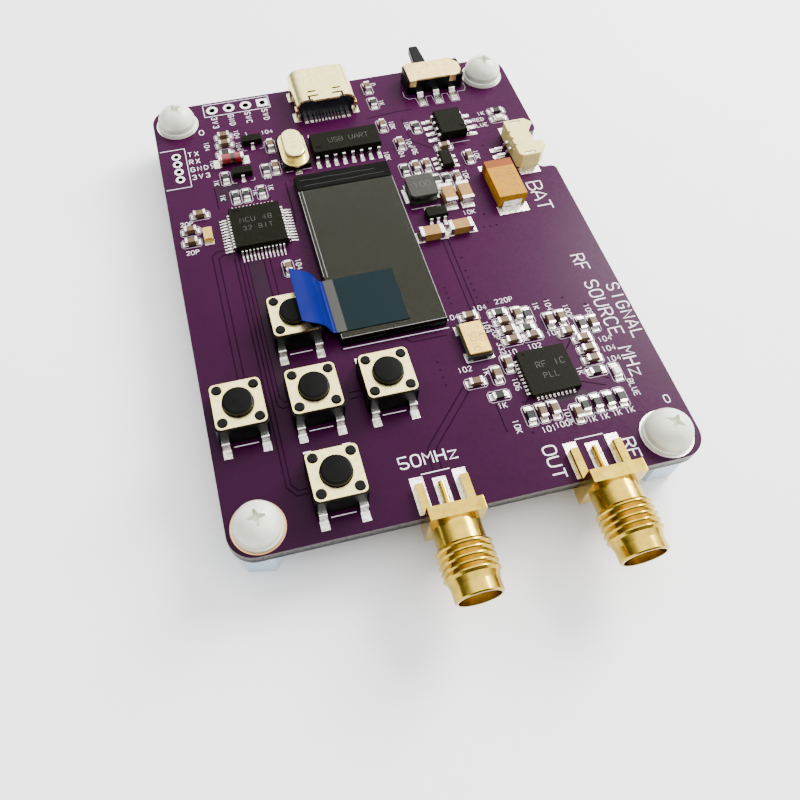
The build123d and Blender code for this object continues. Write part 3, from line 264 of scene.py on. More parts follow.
def colour_board():
    """Purple mask on the board's faces, with painted shade deepening towards the front left, and laminate on
    its edges.
    """
    tree = mask.node_tree
    shader = tree.nodes["Principled BSDF"]
    place = tree.nodes.new("ShaderNodeTexCoord")
    split = tree.nodes.new("ShaderNodeSeparateXYZ")
    tree.links.new(place.outputs["Normal"], split.inputs["Vector"])
    upright = tree.nodes.new("ShaderNodeMath")
    upright.operation = "ABSOLUTE"
    tree.links.new(split.outputs["Z"], upright.inputs[0])
    edge = tree.nodes.new("ShaderNodeMix")
    edge.data_type = "RGBA"
    tree.links.new(between(tree, upright.outputs["Value"], 0.45, 0.55), edge.inputs["Factor"])
    tree.links.new(laminate_edge(tree), edge.inputs["A"])
    tree.links.new(shader.inputs["Base Color"].links[0].from_socket, edge.inputs["B"])
    # painted shade: the mask's colour is multiplied darker towards the front left, standing in for less
    # light falling there
    painted_shade = tree.nodes.new("ShaderNodeMix")
    painted_shade.data_type = "RGBA"
    painted_shade.blend_type = "MULTIPLY"
    painted_shade.inputs["B"].default_value = (0.55, 0.45, 0.60, 1.0)
    tree.links.new(between(tree, diagonal(tree), 5 * MM, -55 * MM), painted_shade.inputs["Factor"])
    tree.links.new(edge.outputs["Result"], painted_shade.inputs["A"])
    tree.links.new(painted_shade.outputs["Result"], shader.inputs["Base Color"])


colour_board()

# the pull tab: blue beyond the panel's edge, clear on a strip of it, dark over the rest
panel_edge = at(17.35, 0).x
lay_over(tab, "X", panel_edge, panel_edge + 0.1 * MM, (0.050, 0.050, 0.044))
lay_over(tab, "X", at(18.6, 0).x, at(18.7, 0).x, (0.006, 0.012, 0.014))

# the plated holes: painted shade on the barrel walls inside them, and bare copper on the one at the front
# left
lay_over(plating, "Z", board_high.z - 0.05 * MM, board_high.z - 0.15 * MM, (0.030, 0.024, 0.022))
front_left = at(0, 12.5).x + at(0, 12.5).y
mix_into(plating, between(plating.node_tree, diagonal(plating.node_tree), front_left, front_left - 1 * MM),
         (0.56, 0.30, 0.14))

# the tantalum block: a brown stripe at its rear end; the diode: a dark ring round its glass
lay_over(amber, "Y", at(0, 45.95).y, at(0, 46.0).y, (0.20, 0.052, 0.010))
ring = red_glass.node_tree.nodes.new("ShaderNodeMath")
ring.operation = "COMPARE"
ring.inputs[1].default_value = at(10.2, 0).x
ring.inputs[2].default_value = 0.28 * MM
red_glass.node_tree.links.new(position_parts(red_glass.node_tree)["X"], ring.inputs[0])
mix_into(red_glass, ring.outputs["Value"], (0.012, 0.004, 0.004))

looks = {
    mask: ["circuit_board"],
    plating: ["plated_holes"],
    nylon: ["corner_screws"],
    blue_nylon: ["corner_standoffs"],
    black: ["button_bases", "power_switch_body", "power_switch_lever", "can_crystal_base"],
    core: ["usb_insulator"],
    tape: ["display_frame"],
    cap_black: ["button_up", "button_down", "button_left", "button_right", "button_centre"],
    nickel: ["button_covers", "button_domes", "power_switch_contact", "usb_shell",
             "can_crystal_shell"],
    tin: ["button_terminals", "power_switch_terminals", "battery_socket_pins",
          "battery_socket_nails", "mcu_leads", "usb_bridge_leads", "charger_leads",
          "synthesizer_lands", "small_chip_leads", "chip_end_caps", "tantalum_terminals",
          "inductor_terminals", "can_crystal_leads", "usb_contacts"],
    tan: ["power_switch_cover"],
    gold: ["rf_socket_body", "rf_socket_pin", "clock_socket_body", "clock_socket_pin"],
    pale_gold: ["oscillator_lid", "watch_crystal"],
    cream: ["battery_socket"],
    ptfe: ["rf_socket_insulator", "clock_socket_insulator"],
    glass: ["display_glass"],
    film: ["display_film"],
    tab: ["display_pull_tab"],
    epoxy: ["mcu_body", "usb_bridge_body", "charger_body", "synthesizer_body",
            "small_chip_bodies"],
    resistor: ["resistor_bodies", "oscillator_base"],
    ceramic: ["ceramic_capacitors"],
    ceramic_light: ["large_capacitors"],
    amber: ["tantalum_capacitor"],
    ferrite: ["inductor_core"],
    lens: ["indicator_leds"],
    red_glass: ["glass_diode"],
}
for made, names in looks.items():
    for name in names:
        nodes[name].data.materials.clear()
        nodes[name].data.materials.append(made)


# ---- building helpers ------------------------------------------------------------------------
def finish_piece(piece, made, body="board"):
    """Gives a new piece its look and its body."""
    piece.data.materials.append(made)
    bpy.context.scene.collection.objects.link(piece)
    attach(piece, body)
    return piece


def mesh_piece(name, build, made, body="board"):
    """A piece whose faces are added by build."""
    data = bpy.data.meshes.new(name)
    work = bmesh.new()
    build(work)
    bmesh.ops.recalc_face_normals(work, faces=work.faces)
    work.to_mesh(data)
    work.free()
    return finish_piece(bpy.data.objects.new(name, data), made, body)


def ribbons(name, lines, width, made, level=0.0, height=0.012, body="board"):
    """Flattened strokes: every line is a list of (x, y) in millimetres on the board."""
    curve = bpy.data.curves.new(name, "CURVE")
    curve.dimensions = "3D"
    curve.bevel_depth = width / 2 * MM
    curve.bevel_resolution = 1
    curve.use_fill_caps = True
    for line in lines:
        spline = curve.splines.new("POLY")
        spline.points.add(len(line) - 1)
        for point, (x, y) in zip(spline.points, line):
            spot = at(x, y)
            point.co = (spot.x, spot.y, 0.0, 1.0)
    piece = bpy.data.objects.new(name, curve)
    piece.location = (0, 0, board_high.z + level * MM)
    piece.scale = (1, 1, height / (width / 2))
    return finish_piece(piece, made, body)


def slab(work, x, y, long, wide, low, high, turned=0.0, inset=0.0):
    """A plate with drawn-in top edges, added to a mesh."""
    spin = Matrix.Rotation(math.radians(turned), 3, "Z")
    rings = []
    for level, shrink in ((low, 0.0), (high - inset, 0.0), (high, inset)):
        half_long, half_wide = long / 2 - shrink, wide / 2 - shrink
        corners = [(-half_long, -half_wide), (half_long, -half_wide),
                   (half_long, half_wide), (-half_long, half_wide)]
        ring = []
        for across, along in corners:
            turned_point = spin @ Vector((across, along, 0))
            ring.append(work.verts.new(at(x + turned_point.x, y + turned_point.y, level)))
        rings.append(ring)
    for lower, upper in zip(rings, rings[1:]):
        for index in range(4):
            after = (index + 1) % 4
            work.faces.new((lower[index], lower[after], upper[after], upper[index]))
    work.faces.new(rings[0][::-1])
    work.faces.new(rings[-1])


def pad(work, x, y, long, wide, turned=0, height=PAD_HEIGHT, bevel=PAD_BEVEL):
    """A flat patch of solder on the board."""
    slab(work, x, y, long, wide, 0.0, height, turned, bevel)


def islands(node):
    """The lowest and highest corner of each separate solid in a CAD node, on the board."""
    work = bmesh.new()
    work.from_mesh(nodes[node].data)
    bmesh.ops.remove_doubles(work, verts=work.verts, dist=1e-7)
    left = set(work.verts)
    found = []
    while left:
        seed = left.pop()
        group, front = [seed], [seed]
        while front:
            vert = front.pop()
            for edge in vert.link_edges:
                other = edge.other_vert(vert)
                if other in left:
                    left.remove(other)
                    group.append(other)
                    front.append(other)
        low = Vector([min(v.co[axis] for v in group) for axis in range(3)])
        high = Vector([max(v.co[axis] for v in group) for axis in range(3)])
        found.append((board_mm(low), board_mm(high)))
    work.free()
    return sorted(found)


def chips(node):
    """(x, y, turned, height) of each two-ended chip in a node."""
    out = []
    for low, high in islands(node):
        turned = 0 if high[0] - low[0] > high[1] - low[1] else 90
        out.append(((low[0] + high[0]) / 2, (low[1] + high[1]) / 2, turned, high[2]))
    return out


# ---- pads and solder -------------------------------------------------------------------------
small = chips("ceramic_capacitors") + chips("resistor_bodies") + chips("indicator_leds")
large = chips("large_capacitors")


def fillet_of_solder(work, x, y, turned, side, start, reach, wide, height):
    """A concave slope of solder from a chip's end down to its pad."""
    spin = Matrix.Rotation(math.radians(turned), 3, "Z")
    profile = [(start, height), (start + reach * 0.25, height * 0.42), (start + reach * 0.6, height * 0.14),
               (start + reach, 0.03)]
    rows = []
    for along, level in profile:
        half = wide / 2 * (0.92 + 0.08 * (along - start) / reach)
        row = []
        for across in (-half, 0.0, half):
            lift = level if across == 0.0 else level * 0.8
            spot = spin @ Vector((side * along, across, 0))
            row.append(work.verts.new(at(x + spot.x, y + spot.y, lift)))
        rows.append(row)
    floor_rows = []
    for along, _ in (profile[0], profile[-1]):
        row = []
        for across in (-wide / 2, wide / 2):
            spot = spin @ Vector((side * along, across, 0))
            row.append(work.verts.new(at(x + spot.x, y + spot.y, 0.005)))
        floor_rows.append(row)
    for first, second in zip(rows, rows[1:]):
        for index in range(2):
            work.faces.new((first[index], first[index + 1], second[index + 1], second[index]))
    work.faces.new((floor_rows[0][0], rows[0][0], rows[0][1], rows[0][2], floor_rows[0][1]))
    work.faces.new((floor_rows[1][1], rows[-1][2], rows[-1][1], rows[-1][0], floor_rows[1][0]))
    work.faces.new([floor_rows[0][0]] + [row[0] for row in rows] + [floor_rows[1][0]])
    work.faces.new([floor_rows[1][1]] + [row[2] for row in rows[::-1]] + [floor_rows[0][1]])
    work.faces.new((floor_rows[0][1], floor_rows[1][1], floor_rows[1][0], floor_rows[0][0]))


def chip_ends(work, place, out, long, wide, start, reach, slope_wide, slope_height):
    """The two pads of a chip, and a slope of solder from each of its ends."""
    x, y, turned = place
    for side in (-1, 1):
        across, along = (side * out, 0) if turned == 0 else (0, side * out)
        pad(work, x + across, y + along, long, wide, turned)
        fillet_of_solder(work, x, y, turned, side, start, reach, slope_wide, slope_height)


def chip_pads(work):
    for x, y, turned, height in small:
        chip_ends(work, (x, y, turned), 0.86, 0.72, 0.9, 0.79, 0.3, 0.74, min(0.45, height * 0.7))
    for x, y, turned, _ in large:
        chip_ends(work, (x, y, turned), 1.6, 1.2, 1.75, 1.59, 0.5, 1.5, 0.8)


mesh_piece("chip_solder", chip_pads, solder)


def row_of_pads(work, x, y, turned, out, pitch, count, long, wide):
    """Pads along one side of a chip: out is the distance from its centre to the pads' middle."""
    spin = Matrix.Rotation(math.radians(turned), 3, "Z")
    for step in range(count):
        spot = spin @ Vector(((step - (count - 1) / 2) * pitch, out, 0))
        pad(work, x + spot.x, y + spot.y, long, wide, turned + 90)


def lead_pads(work):
    """The pads of every part with leads or lands, by part."""
    for turned in range(0, 360, 90):
        row_of_pads(work, 11.33, 44.0, turned, 4.3, 0.5, 12, 1.2, 0.18)    # mcu
        row_of_pads(work, 40.45, 14.05, turned, 3.1, 0.5, 10, 0.5, 0.27)   # synthesizer
    for turned in (0, 180):
        row_of_pads(work, 26.4, 56.85, turned, 2.75, 1.27, 8, 1.5, 0.6)    # usb bridge
        row_of_pads(work, 42.2, 56.95, turned + 90, 2.85, 1.27, 4, 1.6, 0.6)   # charger
        row_of_pads(work, 39.55, 50.35, turned + 90, 1.3, 0.95, 3, 0.9, 0.5)   # regulators
    row_of_pads(work, 35.15, 40.9, 180, 1.3, 0.95, 3, 0.9, 0.5)
    row_of_pads(work, 35.15, 40.9, 0, 1.3, 1.9, 2, 0.9, 0.5)
    for x, y in ((13.5, 60.8), (11.05, 54.8)):    # transistors
        row_of_pads(work, x, y, 180, 1.1, 1.9, 1, 0.8, 0.6)
        row_of_pads(work, x, y, 0, 1.1, 1.9, 2, 0.8, 0.6)
    for x, y in BUTTON_CENTRES:
        row_of_pads(work, x, y, 180, 4.3, 4.5, 2, 1.1, 1.0)
        row_of_pads(work, x, y, 0, 4.1, 4.5, 2, 0.8, 0.9)
    row_of_pads(work, 42.6, 67.2, 180, 3.75, 2.5, 3, 1.7, 1.0)    # slide switch
    row_of_pads(work, 25.4, 63.35, 180, 0.0, 0.5, 8, 1.0, 0.3)    # usb socket
    for x in (22.2, 23.0, 27.8, 28.6):
        pad(work, x, 63.35, 0.55, 1.0)
    for x in (20.95, 29.85):
        for y in (64.4, 69.0):
            pad(work, x, y, 1.0, 1.9, height=THICK_PAD, bevel=0.02)
    for x in (21.4, 23.9, 26.3, 39.4, 41.85, 44.4):    # coaxial sockets, pins shorter than legs
        length = 3.9 if x in (23.9, 41.85) else 4.4
        pad(work, x, 0.35 + length / 2, 1.55, length)
    for y in (49.65, 50.95):    # battery socket: pins, then nails
        pad(work, 47.3, y, 1.7, 0.7)
    for y in (46.1, 54.5):
        pad(work, 50.6, y, 3.0, 1.25)
    pad(work, 45.8, 39.75, 4.3, 1.6)    # tantalum block
    pad(work, 45.8, 47.9, 4.3, 1.0)
    for x in (32.1, 36.5):    # inductor
        pad(work, x, 45.3, 0.5, 2.6, height=THICK_PAD)
    for y in (53.3, 60.9):    # can crystal
        pad(work, 18.87, y, 1.0, 0.7, height=THICK_PAD)
    for y in (43.55, 45.85):    # watch crystal
        pad(work, 4.65, y, 1.25, 0.8)
    for x in (32.1, 34.8):    # oscillator
        for y in (18.2, 22.2):
            pad(work, x, y, 0.9, 1.3)
    for x in (8.0, 12.0):    # diode
        pad(work, x, 57.6, 1.1, 1.6, height=THICK_PAD)


mesh_piece("lead_solder", lead_pads, solder)

# ---- tracks, openings in the copper and via dots ---------------------------------------------
etched = [
    [(7.2, 41.7), (5.3, 41.7), (4.6, 41.0), (4.6, 20.2)],
    [(7.2, 40.9), (5.9, 40.9), (5.4, 40.4), (5.4, 20.2)],
    [(7.4, 40.0), (7.4, 8.0), (7.4, 6.9), (8.3, 5.7), (9.7, 5.7)],
    [(7.95, 40.0), (7.95, 14.0), (7.95, 7.1), (8.6, 6.3), (9.7, 6.3)],
    [(8.45, 39.6), (8.45, 17.2), (9.0, 16.7), (9.7, 16.7)],
    [(8.95, 39.3), (8.95, 18.2), (9.3, 17.5), (9.7, 17.5)],
    [(11.05, 39.0), (11.05, 32.2)],
    [(11.85, 39.0), (11.85, 32.2)],
    [(30.2, 14.5), (24.1, 8.2), (23.6, 7.4), (23.6, 5.0)],
    [(30.7, 13.8), (24.9, 7.8), (24.6, 7.2), (24.6, 5.0)],
    [(33.15, 11.4), (33.15, 7.8)],
    [(34.7, 36.8), (34.65, 24.8)],
    [(35.45, 36.8), (35.4, 24.8)],
    [(16.9, 16.9), (18.3, 16.9)],
    [(16.9, 16.1), (18.3, 16.1)],
    [(25.2, 22.9), (26.2, 22.0), (30.6, 22.0)],
    [(36.4, 10.6), (37.6, 11.6)],
    [(43.9, 12.0), (46.6, 10.8)],
    [(44.4, 13.2), (47.4, 11.6)],
    [(44.0, 16.6), (45.2, 18.0)],
    [(31.0, 61.8), (35.8, 62.2), (38.0, 62.2)],
    [(36.0, 60.4), (36.0, 55.8), (38.4, 53.6)],
    [(16.6, 51.8), (16.6, 46.0), (16.0, 42.0)],
    [(6.8, 53.2), (6.8, 49.2)],
]
ribbons("etched_lines", etched, 0.17, gap, level=0.0, height=0.008)


def windows(work):
    for x, y, long, wide in ((9.95, 28.4, 1.9, 21.6), (8.6, 52.0, 3.2, 3.6), (41.2, 10.4, 5.6, 0.9)):
        slab(work, x, y, long, wide, 0.0, 0.004, 0, 0.001)


mesh_piece("copper_windows", windows, bare)

via_spots = [(28.3, 18.5 - 1.1 * step) for step in range(4)]
via_spots += [(36.05, 31.0 - 1.1 * step) for step in range(6)] + [(36.2, 33.2)]
via_spots += [(37.1 + 1.05 * step, 25.55) for step in range(4)]
via_spots += [(40.8 + 0.9 * step, 37.5) for step in range(3)] + [(41.6, 39.7)]
via_spots += [(32.55, 29.0 - 0.85 * step) for step in range(4)]
via_spots += [(46.5, 24.0), (36.0, 6.9), (33.2, 7.8), (36.3, 10.9), (45.8, 52.3), (17.4, 52.0),
              (19.0, 50.9), (14.9, 37.9), (30.6, 53.4), (14.0, 49.6), (44.3, 24.2), (48.9, 22.4)]


def via_dots(work):
    for x, y in via_spots:
        bmesh.ops.create_cone(work, cap_ends=True, segments=16, radius1=0.17 * MM, radius2=0.14 * MM,
                              depth=0.02 * MM, matrix=Matrix.Translation(at(x, y, 0.003)))


mesh_piece("via_dots", via_dots, gap)

# ---- printed words and outlines --------------------------------------------------------------
GLYPHS = {
    "0": "10 01 05 16 36 45 41 30 10", "1": "15 26 20", "2": "05 16 36 45 44 00 40",
    "3": "05 16 36 45 44 33 23, 33 42 41 30 10 01", "4": "30 36 02 42",
    "5": "46 06 03 33 42 41 30 10 01", "6": "36 16 05 01 10 30 41 42 33 03", "7": "06 46 10",
    "8": "13 04 05 16 36 45 44 33 13 02 01 10 30 41 42 33", "9": "10 30 41 45 36 16 05 04 13 43",
    "A": "00 02 26 42 40, 02 42", "B": "00 06 36 45 44 33 03, 33 42 41 30 00 01",
    "C": "45 36 16 05 01 10 30 41", "D": "00 06 26 44 42 20 00 01", "E": "46 06 00 40, 03 33",
    "F": "46 06 00, 03 33", "G": "45 36 16 05 01 10 30 41 43 23", "H": "00 06, 40 46, 03 43",
    "I": "20 26", "K": "00 06, 46 02, 13 40", "L": "06 00 40", "M": "00 06 23 46 40",
    "N": "00 06 40 46", "O": "10 01 05 16 36 45 41 30 10", "P": "00 06 36 45 44 33 03",
    "R": "00 06 36 45 44 33 03, 23 40", "S": "45 36 16 05 04 13 33 42 41 30 10 01",
    "T": "06 46, 26 20", "U": "06 01 10 30 41 46", "V": "06 20 46", "W": "06 10 23 30 46",
    "X": "00 46, 06 40", "z": "04 44 00 40", "-": "03 43", ".": "20 21",
}


def softened(line):
    """Cuts each gentle corner of a stroke, and keeps the sharp ones."""
    out = [line[0]]
    for before, here, after in zip(line, line[1:], line[2:]):
        first, second = Vector(here) - Vector(before), Vector(after) - Vector(here)
        if first.length and second.length and first.angle(second) < 0.9:
            out += [tuple(Vector(here) - 0.3 * first), tuple(Vector(here) + 0.3 * second)]
        else:
            out.append(here)
    return out + [line[-1]]


def lettering(words, x, y, size, turned=0, pitch=None, narrow=0.62):
    """Strokes of a word: x, y is the start of its baseline, size its height in millimetres."""
    pitch = pitch or size * 0.86
    spin = Matrix.Rotation(math.radians(turned), 2)
    lines = []
    for index, letter in enumerate(words):
        for stroke in GLYPHS.get(letter, "").split(","):
            points = [(int(pair[0]), int(pair[1])) for pair in stroke.split()]
            if not points:
                continue
            placed = []
            for across, up in softened(points):
                spot = spin @ Vector((index * pitch + across / 4 * size * narrow, up / 6 * size))
                placed.append((x + spot.x, y + spot.y))
            lines.append(placed)
    return lines


large_words = (
    lettering("RF SOURCE MHz", 50.1, 30.1, 1.7, -90, 1.49)
    + lettering("SIGNAL", 52.65, 24.6, 1.55, -90, 1.48)
    + lettering("BAT", 49.2, 43.8, 2.0, -90, 1.85, 0.75)
    + lettering("50MHz", 20.1, 6.0, 1.4, 0, 1.42, 0.72)
    + lettering("OUT", 36.2, 4.9, 1.5, -90, 1.45, 0.72)
    + lettering("RF", 45.3, 3.7, 1.45, -90, 1.4, 0.72)
)
medium_words = (
    lettering("TX", 4.15, 60.05, 0.85, 0, 0.95) + lettering("RX", 4.15, 58.55, 0.85, 0, 0.95)
    + lettering("GND", 4.15, 57.0, 0.85, 0, 0.95) + lettering("3V3", 4.15, 55.45, 0.85, 0, 0.95)
    + lettering("3V3", 8.6, 67.4, 0.8, -90, 0.9) + lettering("GND", 11.1, 67.4, 0.8, -90, 0.9)
    + lettering("SWC", 13.6, 67.4, 0.8, -90, 0.9) + lettering("SWD", 16.2, 67.4, 0.8, -90, 0.9)
    + lettering("0", 6.4, 64.1, 1.0) + lettering("0", 52.4, 6.9, 1.0)
)
small_labels = [
    ("104", 11.3, 63.9, -90), ("104", 6.7, 62.4, -90), ("104", 11.2, 61.4, -90), ("Q1", 12.2, 62.5, 0),
    ("104", 15.2, 62.2, 0), ("1K", 6.9, 54.6, -90), ("10K", 7.0, 58.6, -90), ("1K", 13.8, 53.2, 0),
    ("104", 16.9, 56.4, -90), ("1K", 7.3, 51.6, -90), ("1K", 11.9, 51.6, -90), ("1K", 14.1, 52.0, -90),
    ("20P", 1.4, 42.0, 0), ("20P", 1.3, 47.1, 0), ("104", 15.0, 38.0, -90), ("0", 33.5, 69.2, -90),
    ("1K", 33.7, 65.2, -90), ("10K", 33.9, 60.4, -90), ("104", 35.3, 56.2, -90),
    ("10K", 36.0, 59.7, -90), ("10K", 31.5, 54.4, -90), ("104", 33.6, 54.5, -90),
    ("106", 35.6, 54.6, -90), ("10K", 44.0, 51.6, -90), ("1K", 47.2, 58.5, 0), ("RED", 46.1, 57.3, 0),
    ("BLUE", 45.7, 56.1, 0), ("10K", 41.2, 48.2, -90), ("10K", 38.9, 40.2, 0), ("104", 31.2, 24.0, 0),
    ("102", 30.3, 16.4, 0), ("1K", 33.2, 16.4, -90), ("106", 36.1, 14.2, -90), ("1K", 33.3, 10.7, 0),
    ("104", 35.0, 24.6, 0), ("220P", 38.0, 25.0, 0), ("104", 35.4, 22.8, -90),
    ("220P", 36.1, 22.2, -90), ("332", 36.1, 19.4, -90), ("102", 39.6, 17.6, 0), ("10", 37.0, 17.4, 0),
    ("1K", 42.4, 24.1, -90), ("104", 44.0, 24.2, -90), ("102", 42.6, 18.9, 0),
    ("100P", 46.0, 22.9, -90), ("105", 48.6, 22.3, -90), ("104", 48.3, 16.6, 0),
    ("104", 48.2, 15.2, 0), ("104", 48.2, 13.7, 0), ("1K", 44.1, 13.9, -90), ("BLUE", 49.3, 10.9, -90),
    ("10K", 34.2, 8.9, -90), ("101", 37.1, 6.6, 0), ("100P", 38.8, 6.8, 0), ("102", 40.4, 9.0, -90),
    ("1K", 42.7, 6.6, 0), ("1K", 44.2, 6.6, 0), ("1K", 45.8, 6.7, 0), ("1K", 47.4, 6.7, 0),
]
small_words = []
for words, x, y, turned in small_labels:
    small_words += lettering(words, x, y, 0.68, turned, 0.62)
ribbons("large_words", large_words, LARGE_LINE, silk, level=PRINT_LIFT)
ribbons("medium_words", medium_words, MEDIUM_LINE, silk, level=PRINT_LIFT)
ribbons("small_words", small_words, THIN_LINE, silk, level=PRINT_LIFT)


def rounded_box(x, y, long, wide, radius=0.25, turned=0):
    """A closed outline with cut corners, as drawn round a small part."""
    half_long, half_wide = (long / 2, wide / 2) if turned == 0 else (wide / 2, long / 2)
    left, right, low, high = x - half_long, x + half_long, y - half_wide, y + half_wide
    return [(left + radius, low), (right - radius, low), (right, low + radius), (right, high - radius),
            (right - radius, high), (left + radius, high), (left, high - radius), (left, low + radius),
            (left + radius, low)]


outlines = [rounded_box(x, y, 2.75, 1.5, 0.3, turned) for x, y, turned, _ in small]
outlines += [
    [(37.8, 66.2), (37.75, 65.0), (38.3, 64.4), (39.3, 64.4), (39.5, 62.4), (40.7, 62.4), (40.9, 64.4),
     (41.8, 64.4), (42.0, 62.4), (43.2, 62.4), (43.4, 64.4), (44.3, 64.4), (44.5, 62.4), (45.7, 62.4),
     (45.9, 64.4), (47.1, 64.4), (47.4, 65.0), (47.4, 66.2)],
    [(40.3, 53.85), (44.3, 53.85)],
    [(32.3, 42.8), (36.4, 42.8)], [(31.7, 17.5), (35.1, 17.5)],
    [(17.1, 53.8), (18.2, 53.8)], [(19.5, 53.8), (20.8, 53.8)],
    [(12.0, 59.9), (12.0, 59.4), (12.6, 59.4)], [(15.0, 59.9), (15.0, 59.4), (14.4, 59.4)],
    [(9.5, 53.9), (9.5, 53.4), (10.1, 53.4)], [(12.6, 53.9), (12.6, 53.4), (12.0, 53.4)],
]
ribbons("part_outlines", outlines, THIN_LINE, faint_silk_and_edge_highlight, level=PRINT_LIFT)
header_lines = [
    [(7.7, 67.7), (17.6, 67.7), (17.6, 70.3), (7.7, 70.3), (7.7, 67.7)],
    [(0.3, 61.9), (3.8, 61.9), (3.8, 54.2), (0.3, 54.2)],
    [(22.1, 4.95), (25.4, 4.95)], [(40.2, 4.95), (43.6, 4.95)], [(17.8, 23.0), (31.2, 23.0)],
]
for x, y in BUTTON_CENTRES:
    header_lines.append([(x - 1.4, y - 3.5), (x + 1.4, y - 3.5)])
ribbons("header_outlines", header_lines, MEDIUM_LINE, silk, level=PRINT_LIFT)

# ---- marks and edges on the parts ------------------------------------------------------------
def top_of(node):
    """How far a part's top stands above the board, in millimetres."""
    return board_mm(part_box(node)[1])[2]


def mark(name, words, width, made, node):
    """Ink on top of a part."""
    ribbons(name, words, width, made, level=top_of(node), height=MARK_HEIGHT)


mark("capacitor_marks",
     lettering("107 C", 46.3, 45.5, 0.85, -90, 0.8) + lettering("16V", 44.6, 45.2, 0.85, -90, 0.8),
     0.1, ink, "tantalum_capacitor")
mark("mcu_marks", lettering("MCU 48", 9.1, 44.6, 0.8, 0, 0.75) + lettering("32 BIT", 9.3, 43.2, 0.7, 0, 0.7),
     0.08, faint_ink, "mcu_body")
mark("synthesizer_marks",
     lettering("RF IC", 39.2, 14.4, 0.8, 0, 0.75) + lettering("PLL", 39.6, 12.9, 0.7, 0, 0.7),
     0.08, faint_ink, "synthesizer_body")
mark("bridge_marks", lettering("USB UART", 24.0, 56.5, 0.9, 0, 0.75), 0.07, faint_ink,
     "usb_bridge_body")
mark("inductor_marks", lettering("100", 33.2, 44.9, 1.0, 0, 0.85), 0.13, faint_ink,
     "inductor_core")
mark("lid_marks", lettering("50.0", 32.8, 20.9, 0.8, -90, 0.7) + lettering("XO", 33.9, 20.7, 0.8, -90, 0.7),
     0.07, ink, "oscillator_lid")
mark("can_marks", lettering("12.0", 18.5, 57.8, 0.6, -90, 0.5), 0.06, ink, "can_crystal_shell")
glass_low, glass_high = (board_mm(corner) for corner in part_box("display_glass"))
edge_inset, second_edge = 0.08, 0.45
edge_left, edge_right = glass_low[0] + edge_inset, glass_high[0] - edge_inset
edge_front, edge_rear = glass_low[1] + edge_inset, glass_high[1] - edge_inset
# painted highlights: thin pale lines along the glass's left, front and right edges, and a second one inside
# its left edge, where its bevelled edges would catch the light
ribbons("painted_glass_edge_highlights", [
    [(edge_left, edge_rear), (edge_left, 33.2)],
    [(edge_left, 24.2), (edge_left, edge_front), (edge_right, edge_front)],
    [(edge_left + second_edge, edge_rear), (edge_left + second_edge, 33.0)],
    [(edge_right, edge_front), (edge_right, edge_rear)],
], 0.05, faint_silk_and_edge_highlight, level=glass_high[2], height=MARK_HEIGHT)

frame_low, frame_high = (board_mm(corner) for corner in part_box("display_frame"))


def tape_folds():
    """Shallow wrinkles that run across the black tape behind the glass."""
    folds, steps = [], 14
    for row in range(2):
        y = glass_high[1] + 0.9 + 1.0 * row
        start = frame_low[0] + random.uniform(0.6, 2.5)
        end = frame_high[0] - random.uniform(0.6, 3.5)
        slope = random.uniform(-0.02, 0.03)
        folds.append([(start + (end - start) * step / steps,
                       y + slope * (step - 7) + 0.05 * math.sin(step * 1.3 + row))
                      for step in range(steps + 1)])
    return folds


ribbons("tape_folds", tape_folds(), 0.13, wrinkle, level=frame_high[2], height=0.04)


# ---- floor, lights and camera ----------------------------------------------------------------
def stage_floor():
    """A pale floor, just under the feet so that the two faces don't share a plane."""
    data = bpy.data.meshes.new("floor")
    work = bmesh.new()
    bmesh.ops.create_grid(work, x_segments=2, y_segments=2, size=1.5)
    work.to_mesh(data)
    work.free()
    floor = bpy.data.objects.new("floor", data)
    floor.location = (0, 0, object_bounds()[0][2] - 0.00002)
    pale = material("pale_floor", (0.93, 0.93, 0.93), 0.7, vary=0.01, grain=40.0, bump=0.02)
    data.materials.append(pale)
    bpy.context.scene.collection.objects.link(floor)


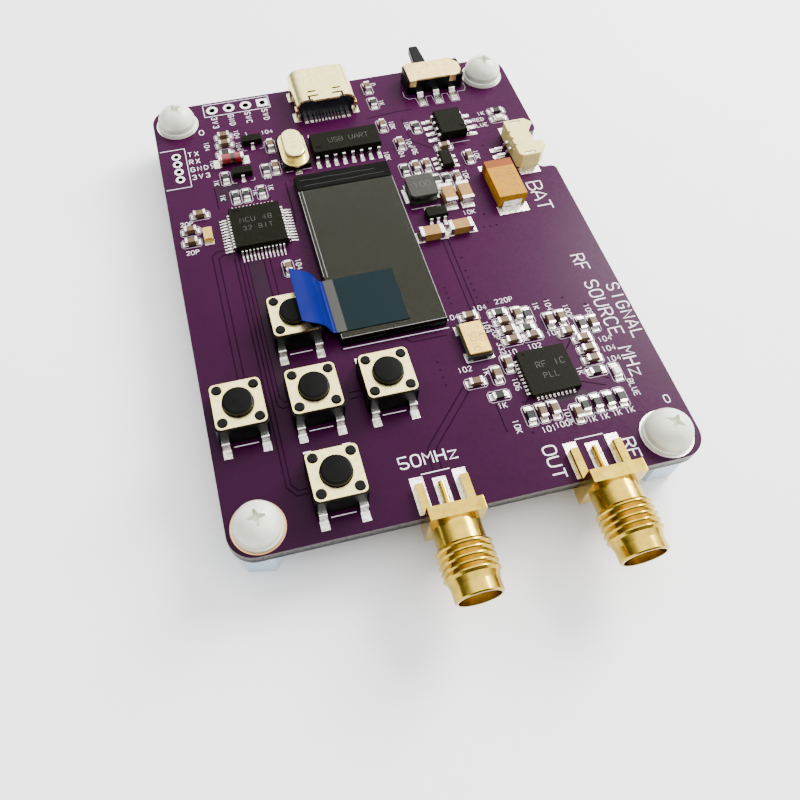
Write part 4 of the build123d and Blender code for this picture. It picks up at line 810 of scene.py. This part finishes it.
def softbox(name, spot, target, size, power, tint):
    """A rectangular light that faces its target."""
    light = bpy.data.lights.new(name, "AREA")
    light.shape = "RECTANGLE"
    light.size, light.size_y = size
    light.energy = power
    light.color = tint
    lamp = bpy.data.objects.new(name, light)
    lamp.location = spot
    lamp.rotation_euler = (Vector(target) - Vector(spot)).to_track_quat("-Z", "Y").to_euler()
    bpy.context.scene.collection.objects.link(lamp)


stage_floor()
softbox("key_softbox", (0.33, 0.19, 0.28), (0, 0, 0), (0.22, 0.22), 6.0, (1.0, 0.985, 0.96))


def studio_sky():
    """A pale ceiling, dimmer towards the left and the horizon, for the metal to mirror."""
    world = bpy.data.worlds.new("studio")
    world.use_nodes = True
    tree = world.node_tree
    place = tree.nodes.new("ShaderNodeTexCoord")
    lean = tree.nodes.new("ShaderNodeVectorMath")
    lean.operation = "DOT_PRODUCT"
    lean.inputs[1].default_value = (0.30, 0.22, 0.93)
    tree.links.new(place.outputs["Generated"], lean.inputs[0])
    ramp = tree.nodes.new("ShaderNodeValToRGB")
    ramp.color_ramp.elements[0].position = 0.05
    ramp.color_ramp.elements[0].color = (0.05, 0.05, 0.052, 1.0)
    ramp.color_ramp.elements[1].position = 0.72
    ramp.color_ramp.elements[1].color = (0.97, 0.97, 0.98, 1.0)
    middle = ramp.color_ramp.elements.new(0.45)
    middle.color = (0.26, 0.26, 0.27, 1.0)
    tree.links.new(lean.outputs["Value"], ramp.inputs["Fac"])
    background = tree.nodes["Background"]
    tree.links.new(ramp.outputs["Color"], background.inputs["Color"])
    background.inputs["Strength"].default_value = 3.6
    bpy.context.scene.world = world


studio_sky()

camera_data = bpy.data.cameras.new("camera")
camera = bpy.data.objects.new("camera", camera_data)
bpy.context.scene.collection.objects.link(camera)
camera_data.sensor_width = 36.0
camera_data.lens = 35.46
camera_data.shift_x = 0.082
camera_data.shift_y = -0.037
camera_data.clip_start = 0.005
camera_spot = at(4.62, -27.58, 79.96)
forward = Vector((0.1214, 0.5100, -0.8516)).normalized()
right = Vector((0.97194, -0.23521, -0.0023)).normalized()
up = right.cross(forward).normalized()
right = forward.cross(up)
turn = Matrix((right, up, -forward)).transposed()
camera.matrix_world = Matrix.Translation(camera_spot) @ turn.to_4x4()
bpy.context.scene.camera = camera
